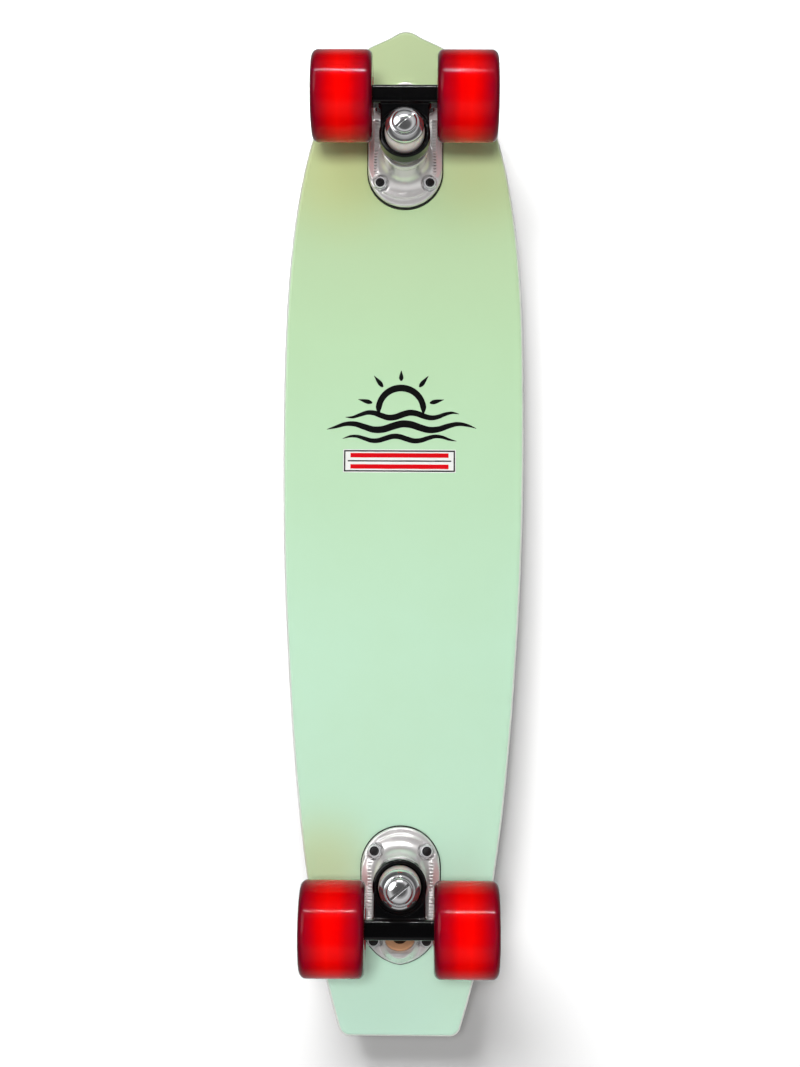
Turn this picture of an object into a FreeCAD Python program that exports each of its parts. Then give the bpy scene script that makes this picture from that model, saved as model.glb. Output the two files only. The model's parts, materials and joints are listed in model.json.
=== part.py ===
import FreeCAD, Part
import math
import os

# A retro skateboard standing on its four wheels, in millimetres.
# +Z is up and the floor is z = 0.  The nose points to -Y, so +X is the rider's left.
# The origin is below the middle of the deck, at floor level.

V = FreeCAD.Vector
X = V(1, 0, 0)
Y = V(0, 1, 0)
Z = V(0, 0, 1)

# ---- deck -------------------------------------------------------------------------------
deck_length = 762.0            # 30 inches
deck_width = 182.0             # at the widest station
deck_thickness = 11.0
deck_edge_radius = 3.0
widest_from_tail = 462.0
tail_width = 84.0              # where the sides meet the square tail
tail_corner_radius = 8.0
tail_flare = 0.33              # how fast the half width grows at the tail
rear_axle_width = 126.0
rear_shoulder_width = 167.2
rear_shoulder_from_tail = 256.0
front_shoulder_width = 168.4
front_shoulder_from_nose = 152.3
front_axle_width = 138.0
nose_width = 57.0
nose_width_from_tip = 13.0
nose_tip_width = 20.0
nose_tip_from_tip = 3.7

grip_thickness = 0.9
grip_inset = 3.4               # bare margin between the grip and the deck's side

# ---- where the trucks sit ---------------------------------------------------------------
tail_to_base = 51.6            # from the tail to the outer tip of the rear baseplate
nose_to_base = 46.9

# ---- riser and baseplate ----------------------------------------------------------------
riser_thickness = 3.0
riser_margin = 0.8
base_width = 57.0
base_nose_length = 32.7        # the outer end, where the sides close to a point
base_flange = 4.5
neck_radius = 16.2
neck_waist_radius = 15.8
neck_waist_below_seat = 8.5
neck_fillet_height = 13.5
neck_foot_radius = 28.5
seat_margin = 4.7              # of the seat around the lower washer
seat_rim = 4.5
rib_length = 3.6
rib_width = 1.2
rib_height = 0.8
rib_pitch = 2.4
rib_inset = 4.6                # from the plate's side to the outer ends of the ribs

# ---- kingpin stack ----------------------------------------------------------------------
kingpin_from_inner = 33.45     # where its axis meets the underside of the baseplate
kingpin_tilt = 4.8             # degrees, leaning outwards
kingpin_radius = 4.76          # 3/8 inch
kingpin_clearance = 0.15
seat_level = 34.5              # levels along the kingpin, from the underside of the baseplate
lower_washer_thickness = 1.2
lower_washer_margin = 0.2      # of the lower washer around the lower cushion
lower_cushion_height = 9.8
lower_cushion_radius = 12.6
web_thickness = 7.0            # the ring's inner web, held between the two cushions
upper_cushion_height = 16.8
upper_cushion_radius = 15.3
upper_cushion_top_radius = 12.5
cup_lip_clearance = 0.3024     # from the side of the upper cushion to the foot of the lip
cup_lip_wall = 0.7
cup_lip = 1.3
cup_floor = 4.0                # under the kingpin's head
cup_height = 5.2               # to the rim around the head
cup_rim = 0.5
head_clearance = 0.1
head_radius = 10.1
head_rim = 2.2
head_height = 6.0
slot_width = 2.1
slot_depth = 2.0
slot_angle = 40.0              # degrees across the board
kingpin_nut_flats = 14.3
kingpin_nut_height = 8.0
kingpin_nut_level = 1.0
hex_clearance = 0.2

# ---- pivot ------------------------------------------------------------------------------
pivot_to_outer_tip = 18.4      # from the mouth of the pivot cup to the baseplate's outer tip
pivot_level = 15.0
pivot_radius = 5.0
pivot_depth = 8.0
pivot_clearance = 0.08
cup_wall = 2.5
cup_bottom = 1.0
cup_flange_width = 2.9
cup_flange = 1.8
boss_offset = 1.9              # of the boss's middle, outwards from the mouth of the cup
boss_foot_radius = 16.5
boss_top_radius = 9.5
boss_top_level = 25.0

# ---- hanger -----------------------------------------------------------------------------
ring_wall = 2.9
ring_foot_wall = 2.3
ring_bowl = 9.0                # height over which the ring swells to its full radius
ring_skirt = 6.0               # from the inner web down to the ring's foot
ring_pocket_depth = 4.5        # from the inner web up to the ring's rim
ring_round = 1.1
pocket_clearance = 0.8
web_hole_radius = 8.2
axle_from_inner = 67.2
axle_level = 54.0
bar_size = 14.0
bar_round = 2.6
bridge_step = 1.0              # the web is this much narrower than the ring on each side
gusset_gap = 1.8               # from the gusset to the wheels
gusset_thickness = 6.0
gusset_drop = 8.0              # how far the gusset's square shoulders reach below the bar
stem_radius = 8.0
stem_length = 19.0
rib_half_width = 8.0

# ---- axle, wheels and bearings ----------------------------------------------------------
axle_radius = 3.97             # 5/16 inch
axle_end_margin = 3.7          # the axle stops this far inside the wheel's outer face
wheel_radius = 33.5
wheel_width = 45.0
wheel_gap = 47.6               # between the inner faces of the two wheels of one truck
wheel_lip_radius = 5.0
inner_recess_margin = 3.0      # around the bearing
inner_recess_depth = 7.0
outer_recess_radius = 20.0
outer_recess_margin = 2.0
outer_recess_depth = 13.6
bearing_radius = 11.0          # 608 bearing, 8 x 22 x 7
bearing_clearance = 0.03       # between the axle and what sits on it
bearing_width = 7.0
race_inner_radius = 6.0
race_outer_radius = 9.2
ball_radius = 1.98
ball_pitch_radius = 7.6
ball_count = 7
ball_clearance = 0.05
shield_thickness = 0.4
shield_clearance = 0.3
spacer_radius = 5.8
washer_radius = 6.2
washer_thickness = 1.0
axle_nut_flats = 12.7          # 1/2 inch
axle_nut_height = 6.0

# ---- deck bolts -------------------------------------------------------------------------
bolt_spacing_wide = 38.1       # the old 1.5 x 2.5 inch pattern
bolt_spacing_long = 63.5
bolt_from_inner = 17.0
bolt_to_outer_tip = 17.2
bolt_radius = 2.4              # 10-32
bolt_clearance = 0.2
bolt_head_radius = 4.7
bolt_head_height = 2.7
nut_flats = 9.5                # 3/8 inch
nut_hex_height = 3.6
nut_height = 5.3
nut_collar_radius = 4.2
insert_radius = 3.4
insert_height = 1.5
bolt_past_nut = 0.8
spotface_radius = 6.6

# ---- worked out from the values above ---------------------------------------------------
wheel_inner_x = wheel_gap / 2
wheel_outer_x = wheel_inner_x + wheel_width
base_length = bolt_from_inner + bolt_spacing_long + bolt_to_outer_tip
base_straight_end = base_length - base_nose_length
base_underside = wheel_radius + axle_level
deck_underside = base_underside + riser_thickness
deck_top = deck_underside + deck_thickness
front_inner_y = -(deck_length / 2 - nose_to_base - base_length)
rear_inner_y = deck_length / 2 - tail_to_base - base_length
front_axle_y = front_inner_y - axle_from_inner
rear_axle_y = rear_inner_y + axle_from_inner

tilt = math.radians(kingpin_tilt)
kingpin_foot = V(0, kingpin_from_inner, 0)
kingpin_axis = V(0, math.sin(tilt), math.cos(tilt))
lower_washer_radius = lower_cushion_radius + lower_washer_margin
seat_radius = lower_washer_radius + seat_margin
ring_radius = upper_cushion_radius + pocket_clearance + ring_wall
ring_foot_radius = lower_cushion_radius + pocket_clearance + ring_foot_wall
lower_cushion_level = seat_level + lower_washer_thickness
web_level = lower_cushion_level + lower_cushion_height
upper_cushion_level = web_level + web_thickness
cup_level = upper_cushion_level + upper_cushion_height
head_level = cup_level + cup_floor

# the upper cushion's side is the arc through these three (radius, height) points
barrel = [(upper_cushion_radius - 0.8, 0.0),
          (upper_cushion_radius - 0.3, upper_cushion_height * 0.48),
          (upper_cushion_top_radius, upper_cushion_height)]


def barrel_side(height):
    """Radius of the upper cushion's side at a height above its foot."""
    (xa, ya), (xb, yb), (xc, yc) = barrel
    a, b, c = xa * xa + ya * ya, xb * xb + yb * yb, xc * xc + yc * yc
    d = 2 * (xa * (yb - yc) + xb * (yc - ya) + xc * (ya - yb))
    mid_x = (a * (yb - yc) + b * (yc - ya) + c * (ya - yb)) / d
    mid_y = (a * (xc - xb) + b * (xa - xc) + c * (xb - xa)) / d
    return mid_x + math.sqrt((xa - mid_x) ** 2 + (ya - mid_y) ** 2 - (height - mid_y) ** 2)


cup_radius = barrel_side(upper_cushion_height - cup_lip) + cup_lip_clearance + cup_lip_wall
ring_foot_level = web_level - ring_skirt
ring_rim_level = upper_cushion_level + ring_pocket_depth
ring_centre = kingpin_foot + kingpin_axis * (web_level + web_thickness / 2)
pivot_from_inner = base_length - pivot_to_outer_tip
pivot_mouth = V(0, pivot_from_inner, pivot_level)
pivot_axis = (pivot_mouth - ring_centre).normalize()
bridge_half_width = ring_radius - bridge_step
gusset_half_width = wheel_inner_x - gusset_gap

inner_bearing_x = wheel_inner_x + inner_recess_depth
outer_bearing_x = wheel_outer_x - outer_recess_depth - bearing_width
shoulder_x = inner_bearing_x - washer_thickness
axle_half_length = wheel_outer_x - axle_end_margin
bearing_bore = axle_radius + bearing_clearance
inner_recess_radius = bearing_radius + inner_recess_margin
outer_recess_foot = bearing_radius + outer_recess_margin

bolt_places = []
for across in (-1, 1):
    for along in (0, 1):
        place = V(across * bolt_spacing_wide / 2, bolt_from_inner + along * bolt_spacing_long, 0)
        bolt_places.append(place)


# ---- helpers ----------------------------------------------------------------------------
def cylinder(radius, height, base, axis):
    return Part.makeCylinder(radius, height, base, axis)


def tube(inner, outer, height, base, axis):
    return cylinder(outer, height, base, axis).cut(cylinder(inner, height, base, axis))


def hexagon(flats, height, base, axis):
    """A hexagonal prism standing on base along axis."""
    corner = flats / math.sqrt(3)
    points = []
    for i in range(7):
        turn = math.radians(60 * i)
        points.append(V(corner * math.cos(turn), corner * math.sin(turn), 0))
    prism = Part.Face(Part.makePolygon(points)).extrude(Z * height)
    prism.Placement = FreeCAD.Placement(base, FreeCAD.Rotation(Z, axis))
    return prism


def spun(points, base, axis):
    """Turn a closed profile of (radius, level) points into a solid about an axis."""
    closed = [V(r, 0, level) for r, level in points]
    closed.append(closed[0])
    solid = Part.Face(Part.makePolygon(closed)).revolve(V(0, 0, 0), Z, 360)
    solid.Placement = FreeCAD.Placement(base, FreeCAD.Rotation(Z, axis))
    return solid


def spun_edges(edges, base, axis):
    """The same for a closed profile of edges in the XZ plane."""
    solid = Part.Face(Part.Wire(edges)).revolve(V(0, 0, 0), Z, 360)
    solid.Placement = FreeCAD.Placement(base, FreeCAD.Rotation(Z, axis))
    return solid


def on_kingpin(level):
    return kingpin_foot + kingpin_axis * level


def fused(solids):
    """Join solids into one and merge the faces that run on into each other."""
    whole = solids[0].multiFuse(solids[1:])
    return whole.removeSplitter()


def place_front(shape):
    """Truck frame to row frame for the front truck: outwards is -Y, away from the deck is down."""
    moved = shape.copy()
    moved.rotate(V(0, 0, 0), X, 180)
    moved.translate(V(0, front_inner_y, base_underside))
    return moved


def place_rear(shape):
    moved = shape.copy()
    moved.rotate(V(0, 0, 0), Y, 180)
    moved.translate(V(0, rear_inner_y, base_underside))
    return moved


# ---- deck -------------------------------------------------------------------------------
def spline(points, start, end):
    curve = Part.BSplineCurve()
    curve.interpolate(Points=points, InitialTangent=start, FinalTangent=end)
    return curve


def deck_outline(inset):
    """The closed outline of the deck, drawn in by inset, at z = 0."""
    tail_y = deck_length / 2 - inset
    nose_y = -deck_length / 2 + inset
    widest_y = deck_length / 2 - widest_from_tail
    tail = V(tail_width / 2 - inset, tail_y, 0)
    widest = V(deck_width / 2 - inset, widest_y, 0)
    rear_points = [
        tail,
        V(rear_axle_width / 2 - inset, rear_axle_y, 0),
        V(rear_shoulder_width / 2 - inset, deck_length / 2 - rear_shoulder_from_tail, 0),
        widest,
    ]
    front_points = [
        widest,
        V(front_shoulder_width / 2 - inset, -deck_length / 2 + front_shoulder_from_nose, 0),
        V(front_axle_width / 2 - inset, front_axle_y, 0),
        V(nose_width / 2 - inset * 0.5, nose_y + nose_width_from_tip, 0),
        V(nose_tip_width / 2 - inset * 0.1, nose_y + nose_tip_from_tip, 0),
        V(0, nose_y, 0),
    ]
    left = [
        spline(rear_points, V(tail_flare, -1, 0), V(0, -1, 0)).toShape(),
        spline(front_points, V(0, -1, 0), V(-1, 0, 0)).toShape(),
    ]
    right = [edge.mirror(V(0, 0, 0), X) for edge in left]
    back = Part.makeLine(V(-tail.x, tail_y, 0), tail)
    return Part.Wire(Part.__sortEdges__([back] + left + right))


def deck_blank(inset, bottom, thickness):
    """A flat board of the outline's shape with its two tail corners rounded."""
    board = Part.Face(deck_outline(inset)).extrude(Z * thickness)
    board.translate(Z * bottom)
    corners = []
    for edge in board.Edges:
        box = edge.BoundBox
        upright = box.ZLength > thickness * 0.9 and box.XLength < 0.01
        if upright and box.YMin > deck_length / 2 - inset - 0.01 and abs(box.XMin) > 1:
            corners.append(edge)
    return board.makeFillet(tail_corner_radius, corners)


def bolt_cutters(radius, bottom, height):
    """Eight upright cylinders on the deck bolts' axes, in the row frame."""
    cutters = []
    for place in bolt_places:
        for put in (place_front, place_rear):
            centre = put(Part.Vertex(place)).Point
            cutters.append(cylinder(radius, height, V(centre.x, centre.y, bottom), Z))
    return cutters


def head_cutters(grow):
    """The tapered seats of the bolt heads, each larger than the head by grow."""
    cutters = []
    for place in bolt_places:
        for put in (place_front, place_rear):
            centre = put(Part.Vertex(place)).Point
            foot = V(centre.x, centre.y, deck_top - bolt_head_height)
            small = bolt_radius + grow
            large = bolt_head_radius + grow
            cutters.append(Part.makeCone(small, large, bolt_head_height, foot, Z))
    return cutters


def make_deck():
    board = deck_blank(0, deck_underside, deck_thickness)
    rims = []
    for edge in board.Edges:
        box = edge.BoundBox
        if box.ZLength < 0.01:
            rims.append(edge)
    board = board.makeFillet(deck_edge_radius, rims)
    holes = bolt_cutters(bolt_radius + bolt_clearance, deck_underside - 1, deck_thickness + 2)
    return board.cut(holes + head_cutters(bolt_clearance))


def make_grip():
    sheet = deck_blank(grip_inset, deck_top, grip_thickness)
    holes = bolt_cutters(bolt_head_radius + bolt_clearance, deck_top - 1, grip_thickness + 2)
    return sheet.cut(holes)


# ---- riser and baseplate, in the truck frame: +Y outwards, +Z away from the deck --------
def base_outline(grow):
    """Round inner end, straight sides, and an outer end of two arcs that meet in a point."""
    half = base_width / 2 + grow
    inner_centre = base_width / 2
    reach = base_length + grow - base_straight_end
    outer_radius = (half * half + reach * reach) / (2 * half)
    sweep = math.asin(reach / outer_radius) / 2
    arc_x = half - outer_radius + outer_radius * math.cos(sweep)
    arc_y = base_straight_end + outer_radius * math.sin(sweep)
    tip = V(0, base_length + grow, 0)
    edges = [
        Part.Arc(V(-half, inner_centre, 0), V(0, -grow, 0), V(half, inner_centre, 0)).toShape(),
        Part.makeLine(V(half, inner_centre, 0), V(half, base_straight_end, 0)),
        Part.Arc(V(half, base_straight_end, 0), V(arc_x, arc_y, 0), tip).toShape(),
        Part.Arc(tip, V(-arc_x, arc_y, 0), V(-half, base_straight_end, 0)).toShape(),
        Part.makeLine(V(-half, base_straight_end, 0), V(-half, inner_centre, 0)),
    ]
    return Part.Wire(edges)


def bolt_holes(level, height):
    holes = []
    for place in bolt_places:
        holes.append(cylinder(bolt_radius + bolt_clearance, height, place + Z * level, Z))
    return holes


def make_riser():
    pad = Part.Face(base_outline(riser_margin)).extrude(Z * -riser_thickness)
    return pad.cut(bolt_holes(-riser_thickness - 1, riser_thickness + 2))


def make_neck():
    """The flared column that carries the cushions, turned about the kingpin's axis."""
    waist_level = seat_level - neck_waist_below_seat
    rim_level = seat_level - seat_rim
    foot_level = base_flange + 0.1
    fillet_top = foot_level + neck_fillet_height
    bow = 1 - math.sqrt(0.5)
    middle_r = neck_radius + (neck_foot_radius - neck_radius) * bow
    middle_level = foot_level + neck_fillet_height * bow
    edges = [
        Part.makeLine(V(0, 0, 0), V(neck_foot_radius, 0, 0)),
        Part.makeLine(V(neck_foot_radius, 0, 0), V(neck_foot_radius, 0, foot_level)),
        Part.Arc(V(neck_foot_radius, 0, foot_level), V(middle_r, 0, middle_level),
                 V(neck_radius, 0, fillet_top)).toShape(),
        Part.makeLine(V(neck_radius, 0, fillet_top), V(neck_waist_radius, 0, waist_level)),
        Part.makeLine(V(neck_waist_radius, 0, waist_level), V(seat_radius, 0, rim_level)),
        Part.makeLine(V(seat_radius, 0, rim_level), V(seat_radius, 0, seat_level)),
        Part.makeLine(V(seat_radius, 0, seat_level), V(0, 0, seat_level)),
        Part.makeLine(V(0, 0, seat_level), V(0, 0, 0)),
    ]
    return spun_edges(edges, kingpin_foot, kingpin_axis)


def make_pivot_boss():
    """A tapered boss whose top is cut square to the pivot axis."""
    boss = Part.makeCone(boss_foot_radius, boss_top_radius, boss_top_level,
                         V(0, pivot_from_inner + boss_offset, 0), Z)
    mouth_cut = cylinder(60, 60, pivot_mouth, pivot_axis * -1)
    return boss.cut(mouth_cut)


def make_ribs():
    """A row of small raised bars along each side, in place of cast lettering."""
    start = bolt_from_inner + spotface_radius + rib_pitch
    end = bolt_from_inner + bolt_spacing_long - spotface_radius - rib_pitch
    count = int((end - start) / rib_pitch)
    sunk = 0.5
    left = base_width / 2 - rib_inset - rib_length
    ribs = []
    for i in range(count):
        y = start + i * rib_pitch
        for x in (left, -left - rib_length):
            foot = V(x, y, base_flange - sunk)
            ribs.append(Part.makeBox(rib_length, rib_width, rib_height + sunk, foot))
    return ribs


def make_baseplate():
    plate = Part.Face(base_outline(0)).extrude(Z * base_flange)
    top_edges = []
    for edge in plate.Edges:
        if edge.BoundBox.ZMin > base_flange - 0.01:
            top_edges.append(edge)
    plate = plate.makeChamfer(base_flange * 0.25, top_edges)
    column = Part.Face(base_outline(0)).extrude(Z * (seat_level * 1.5))
    upper = make_neck().fuse(make_pivot_boss())
    whole = fused([plate, upper.common(column)] + make_ribs())
    cuts = bolt_holes(-1, base_flange + 2)
    for place in bolt_places:
        cuts.append(cylinder(spotface_radius, seat_level, place + Z * base_flange, Z))
    cuts.append(cylinder(kingpin_radius + kingpin_clearance, seat_level * 2, kingpin_foot, kingpin_axis))
    pocket_top = kingpin_nut_level + kingpin_nut_height
    pocket = hexagon(kingpin_nut_flats + 2 * hex_clearance, pocket_top + kingpin_nut_flats,
                     on_kingpin(-kingpin_nut_flats), kingpin_axis)
    cuts.append(pocket)
    cuts.append(cylinder(pivot_radius + cup_wall, pivot_depth + cup_bottom, pivot_mouth, pivot_axis))
    return whole.cut(cuts)


def make_pivot_cup():
    """The rubber socket: a plug with a flange, and a round-ended hole for the hanger's nose."""
    plug = cylinder(pivot_radius + cup_wall, pivot_depth + cup_bottom, pivot_mouth, pivot_axis)
    collar = cylinder(pivot_radius + cup_wall + cup_flange_width, cup_flange, pivot_mouth, pivot_axis * -1)
    return plug.fuse(collar).cut(pivot_nose(pivot_clearance))


def pivot_nose(grow):
    """The round end of the hanger's stem, inside the pivot cup, larger by grow."""
    radius = pivot_radius + grow
    straight = pivot_depth - pivot_radius
    start = pivot_mouth - pivot_axis * (cup_flange + 3)
    rod = cylinder(radius, straight + cup_flange + 3, start, pivot_axis)
    ball = Part.makeSphere(radius, pivot_mouth + pivot_axis * straight)
    return rod.fuse(ball)


# ---- kingpin and what is stacked on it --------------------------------------------------
def make_lower_washer():
    return tube(kingpin_radius + kingpin_clearance, lower_washer_radius, lower_washer_thickness,
                on_kingpin(seat_level), kingpin_axis)


def make_lower_cushion():
    ring = tube(kingpin_radius + kingpin_clearance, lower_cushion_radius, lower_cushion_height,
                on_kingpin(lower_cushion_level), kingpin_axis)
    return ring


def make_upper_cushion():
    """A barrel that is widest where it leaves the ring and narrower under the cup washer."""
    bore = kingpin_radius + kingpin_clearance
    top = upper_cushion_height
    foot, belly, rim = [V(radius, 0, height) for radius, height in barrel]
    edges = [
        Part.makeLine(V(bore, 0, 0), foot),
        Part.Arc(foot, belly, rim).toShape(),
        Part.makeLine(V(upper_cushion_top_radius, 0, top), V(bore, 0, top)),
        Part.makeLine(V(bore, 0, top), V(bore, 0, 0)),
    ]
    return spun_edges(edges, on_kingpin(upper_cushion_level), kingpin_axis)


def make_cup_washer():
    """A tapered cup turned over the cushion, with a low rim around the kingpin's head."""
    bore = kingpin_radius + kingpin_clearance
    seat = head_radius + head_clearance
    profile = [
        (bore, 0),
        (cup_radius - cup_lip_wall, 0),
        (cup_radius - cup_lip_wall, -cup_lip),
        (cup_radius, -cup_lip),
        (cup_radius, 0.2),
        (seat + cup_rim, cup_height),
        (seat, cup_height),
        (seat, cup_floor),
        (bore, cup_floor),
    ]
    return spun(profile, on_kingpin(cup_level), kingpin_axis)


def make_kingpin():
    """A slotted, dome-headed bolt that reaches down into the nut in the baseplate."""
    rim = head_radius
    crown_r = head_radius * 0.55
    crown_level = head_rim + (head_height - head_rim) * 0.78
    edges = [
        Part.makeLine(V(0, 0, 0), V(rim, 0, 0)),
        Part.makeLine(V(rim, 0, 0), V(rim, 0, head_rim * 0.7)),
        Part.makeLine(V(rim, 0, head_rim * 0.7), V(rim - 0.7, 0, head_rim)),
        Part.Arc(V(rim - 0.7, 0, head_rim), V(crown_r, 0, crown_level), V(0, 0, head_height)).toShape(),
        Part.makeLine(V(0, 0, head_height), V(0, 0, 0)),
    ]
    head = spun_edges(edges, on_kingpin(head_level), kingpin_axis)
    slot = Part.makeBox(head_radius * 1.35, slot_width, slot_depth * 2,
                        V(-head_radius * 0.675, -slot_width / 2, head_height - slot_depth))
    slot.rotate(V(0, 0, 0), Z, slot_angle)
    slot.Placement = FreeCAD.Placement(on_kingpin(head_level),
                                       FreeCAD.Rotation(Z, kingpin_axis)).multiply(slot.Placement)
    foot = kingpin_nut_level + 0.3
    shank = cylinder(kingpin_radius, head_level - foot + 0.1, on_kingpin(foot), kingpin_axis)
    return head.fuse(shank).cut(slot)


def make_kingpin_nut():
    nut = hexagon(kingpin_nut_flats, kingpin_nut_height, on_kingpin(kingpin_nut_level), kingpin_axis)
    return nut.cut(cylinder(kingpin_radius, 40, on_kingpin(0), kingpin_axis))


# ---- hanger -----------------------------------------------------------------------------
def make_ring():
    """The bowl of the hanger, with an inner web between the pockets of the two cushions."""
    foot = ring_foot_level
    rim = ring_rim_level
    upper_pocket = upper_cushion_radius + pocket_clearance
    lower_pocket = lower_cushion_radius + pocket_clearance
    swell = ring_radius - ring_foot_radius
    inside = [
        V(upper_pocket, 0, rim),
        V(upper_pocket, 0, upper_cushion_level),
        V(web_hole_radius, 0, upper_cushion_level),
        V(web_hole_radius, 0, web_level),
        V(lower_pocket, 0, web_level),
        V(lower_pocket, 0, foot),
        V(ring_foot_radius, 0, foot),
    ]
    outside = [
        V(ring_radius, 0, foot + ring_bowl),
        V(ring_radius, 0, rim - ring_round),
        V(ring_radius - ring_round, 0, rim),
        V(upper_pocket, 0, rim),
    ]
    bowl = Part.Arc(inside[-1], V(ring_foot_radius + swell * 0.7, 0, foot + ring_bowl * 0.4),
                    outside[0]).toShape()
    edges = Part.makePolygon(inside).Edges + [bowl] + Part.makePolygon(outside).Edges
    return spun_edges(edges, kingpin_foot, kingpin_axis)


def make_bar():
    """The square bar that holds the axle, with rounded long edges."""
    corner = V(-shoulder_x, axle_from_inner - bar_size / 2, axle_level - bar_size / 2)
    bar = Part.makeBox(2 * shoulder_x, bar_size, bar_size, corner)
    long_edges = []
    for edge in bar.Edges:
        if edge.BoundBox.XLength > shoulder_x:
            long_edges.append(edge)
    return bar.makeFillet(bar_round, long_edges)


def make_bridge():
    """The web from the ring's side to the bar, as deep as the bar."""
    near = ring_centre.y
    points = [
        V(-bridge_half_width, near, 0),
        V(bridge_half_width, near, 0),
        V(bridge_half_width, axle_from_inner - 9, 0),
        V(bridge_half_width + 3.5, axle_from_inner, 0),
        V(-bridge_half_width - 3.5, axle_from_inner, 0),
        V(-bridge_half_width, axle_from_inner - 9, 0),
        V(-bridge_half_width, near, 0),
    ]
    depth = bar_size - 3
    block = Part.Face(Part.makePolygon(points)).extrude(Z * depth)
    block.translate(Z * (axle_level - bar_size / 2))
    core = cylinder(ring_radius - 0.5, 80, on_kingpin(0), kingpin_axis)
    return block.cut(core)


def make_gusset():
    """The triangular plate below the bar, running down to the stem."""
    top = axle_level - bar_size / 2 + 2
    shoulder = axle_level - bar_size / 2 - gusset_drop
    tip = pivot_level + stem_radius
    points = [
        V(-gusset_half_width, 0, top),
        V(gusset_half_width, 0, top),
        V(gusset_half_width, 0, shoulder),
        V(stem_radius, 0, tip),
        V(-stem_radius, 0, tip),
        V(-gusset_half_width, 0, shoulder),
        V(-gusset_half_width, 0, top),
    ]
    plate = Part.Face(Part.makePolygon(points)).extrude(Y * gusset_thickness)
    plate.translate(Y * (axle_from_inner - gusset_thickness))
    return plate


def make_stem():
    """The tapered stem along the pivot axis, and the rib that ties it to the bar."""
    start = pivot_mouth - pivot_axis * (cup_flange + stem_length)
    length = stem_length - 0.8
    stem = Part.makeCone(stem_radius, pivot_radius, length, start, pivot_axis)
    back = axle_from_inner - gusset_thickness - 2
    front = axle_from_inner + 2
    top = axle_level
    side = [
        V(-rib_half_width, back, top),
        V(-rib_half_width, back, start.z + 2),
        V(-rib_half_width, front, pivot_level + 13),
        V(-rib_half_width, front, top),
        V(-rib_half_width, back, top),
    ]
    rib = Part.Face(Part.makePolygon(side)).extrude(X * (2 * rib_half_width))
    return stem.fuse(rib)


def make_hanger():
    whole = fused([make_ring(), make_bridge(), make_bar(), make_gusset(), make_stem(), pivot_nose(0)])
    neck_room = cylinder(lower_cushion_radius + pocket_clearance, web_level, on_kingpin(0), kingpin_axis)
    bore = cylinder(axle_radius, 2 * shoulder_x, V(-shoulder_x, axle_from_inner, axle_level), X)
    pocket = cylinder(upper_cushion_radius + pocket_clearance, 60, on_kingpin(upper_cushion_level),
                      kingpin_axis)
    return whole.cut([neck_room, bore, pocket])


# ---- axle, wheels and bearings: one wheel is made on the truck's +X side ----------------
def on_axle(x):
    return V(x, axle_from_inner, axle_level)


def make_axle():
    rod = cylinder(axle_radius, 2 * axle_half_length, on_axle(-axle_half_length), X)
    return rod.makeChamfer(0.6, [e for e in rod.Edges if e.Curve.TypeId == "Part::GeomCircle"])


def make_wheel():
    """The tyre-less solid wheel: round lips, a recess on each face and two bearing seats."""
    r = wheel_radius
    lip = wheel_lip_radius
    w = wheel_width
    bend = lip * (1 - math.sqrt(0.5))
    seat_in = inner_recess_depth + bearing_width
    seat_out = w - outer_recess_depth - bearing_width
    bore = race_outer_radius
    bearing_end = w - outer_recess_depth
    points = [
        V(bore, 0, seat_in),
        V(bearing_radius, 0, seat_in),
        V(bearing_radius, 0, inner_recess_depth),
        V(inner_recess_radius - 1, 0, inner_recess_depth),
        V(inner_recess_radius, 0, 0),
        V(r - lip, 0, 0),
    ]
    inner_side = Part.makePolygon(points).Edges
    points = [
        V(r - lip, 0, w),
        V(outer_recess_radius, 0, w),
        V(outer_recess_foot, 0, bearing_end),
        V(bearing_radius, 0, bearing_end),
        V(bearing_radius, 0, seat_out),
        V(bore, 0, seat_out),
        V(bore, 0, seat_in),
    ]
    outer_side = Part.makePolygon(points).Edges
    inner_lip = Part.Arc(V(r - lip, 0, 0), V(r - bend, 0, bend), V(r, 0, lip)).toShape()
    tread = Part.makeLine(V(r, 0, lip), V(r, 0, w - lip))
    outer_lip = Part.Arc(V(r, 0, w - lip), V(r - bend, 0, w - bend), V(r - lip, 0, w)).toShape()
    edges = inner_side + [inner_lip, tread, outer_lip] + outer_side
    return spun_edges(edges, on_axle(wheel_inner_x), X)


def bearing_starts():
    return (inner_bearing_x, outer_bearing_x)


def ball_groove(x):
    centre = on_axle(x + bearing_width / 2)
    return Part.makeTorus(ball_pitch_radius, ball_radius + ball_clearance, centre, X)


def make_outer_rings():
    rings = []
    for x in bearing_starts():
        ring = tube(race_outer_radius, bearing_radius, bearing_width, on_axle(x), X)
        rings.append(ring.cut(ball_groove(x)))
    return Part.makeCompound(rings)


def make_inner_rings():
    rings = []
    for x in bearing_starts():
        ring = tube(bearing_bore, race_inner_radius, bearing_width, on_axle(x), X)
        rings.append(ring.cut(ball_groove(x)))
    return Part.makeCompound(rings)


def make_balls():
    balls = []
    for x in bearing_starts():
        for i in range(ball_count):
            turn = 2 * math.pi * i / ball_count
            offset = V(0, ball_pitch_radius * math.cos(turn), ball_pitch_radius * math.sin(turn))
            balls.append(Part.makeSphere(ball_radius, on_axle(x + bearing_width / 2) + offset))
    return Part.makeCompound(balls)


def make_shields():
    shields = []
    for x in bearing_starts():
        for start in (x + 0.2, x + bearing_width - 0.2 - shield_thickness):
            shields.append(tube(race_inner_radius + shield_clearance, race_outer_radius,
                                shield_thickness, on_axle(start), X))
    return Part.makeCompound(shields)


def make_spacer():
    start = inner_bearing_x + bearing_width
    return tube(bearing_bore, spacer_radius, outer_bearing_x - start, on_axle(start), X)


def make_washers():
    washers = []
    for x in (shoulder_x, outer_bearing_x + bearing_width):
        washers.append(tube(bearing_bore, washer_radius, washer_thickness, on_axle(x), X))
    return Part.makeCompound(washers)


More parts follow.
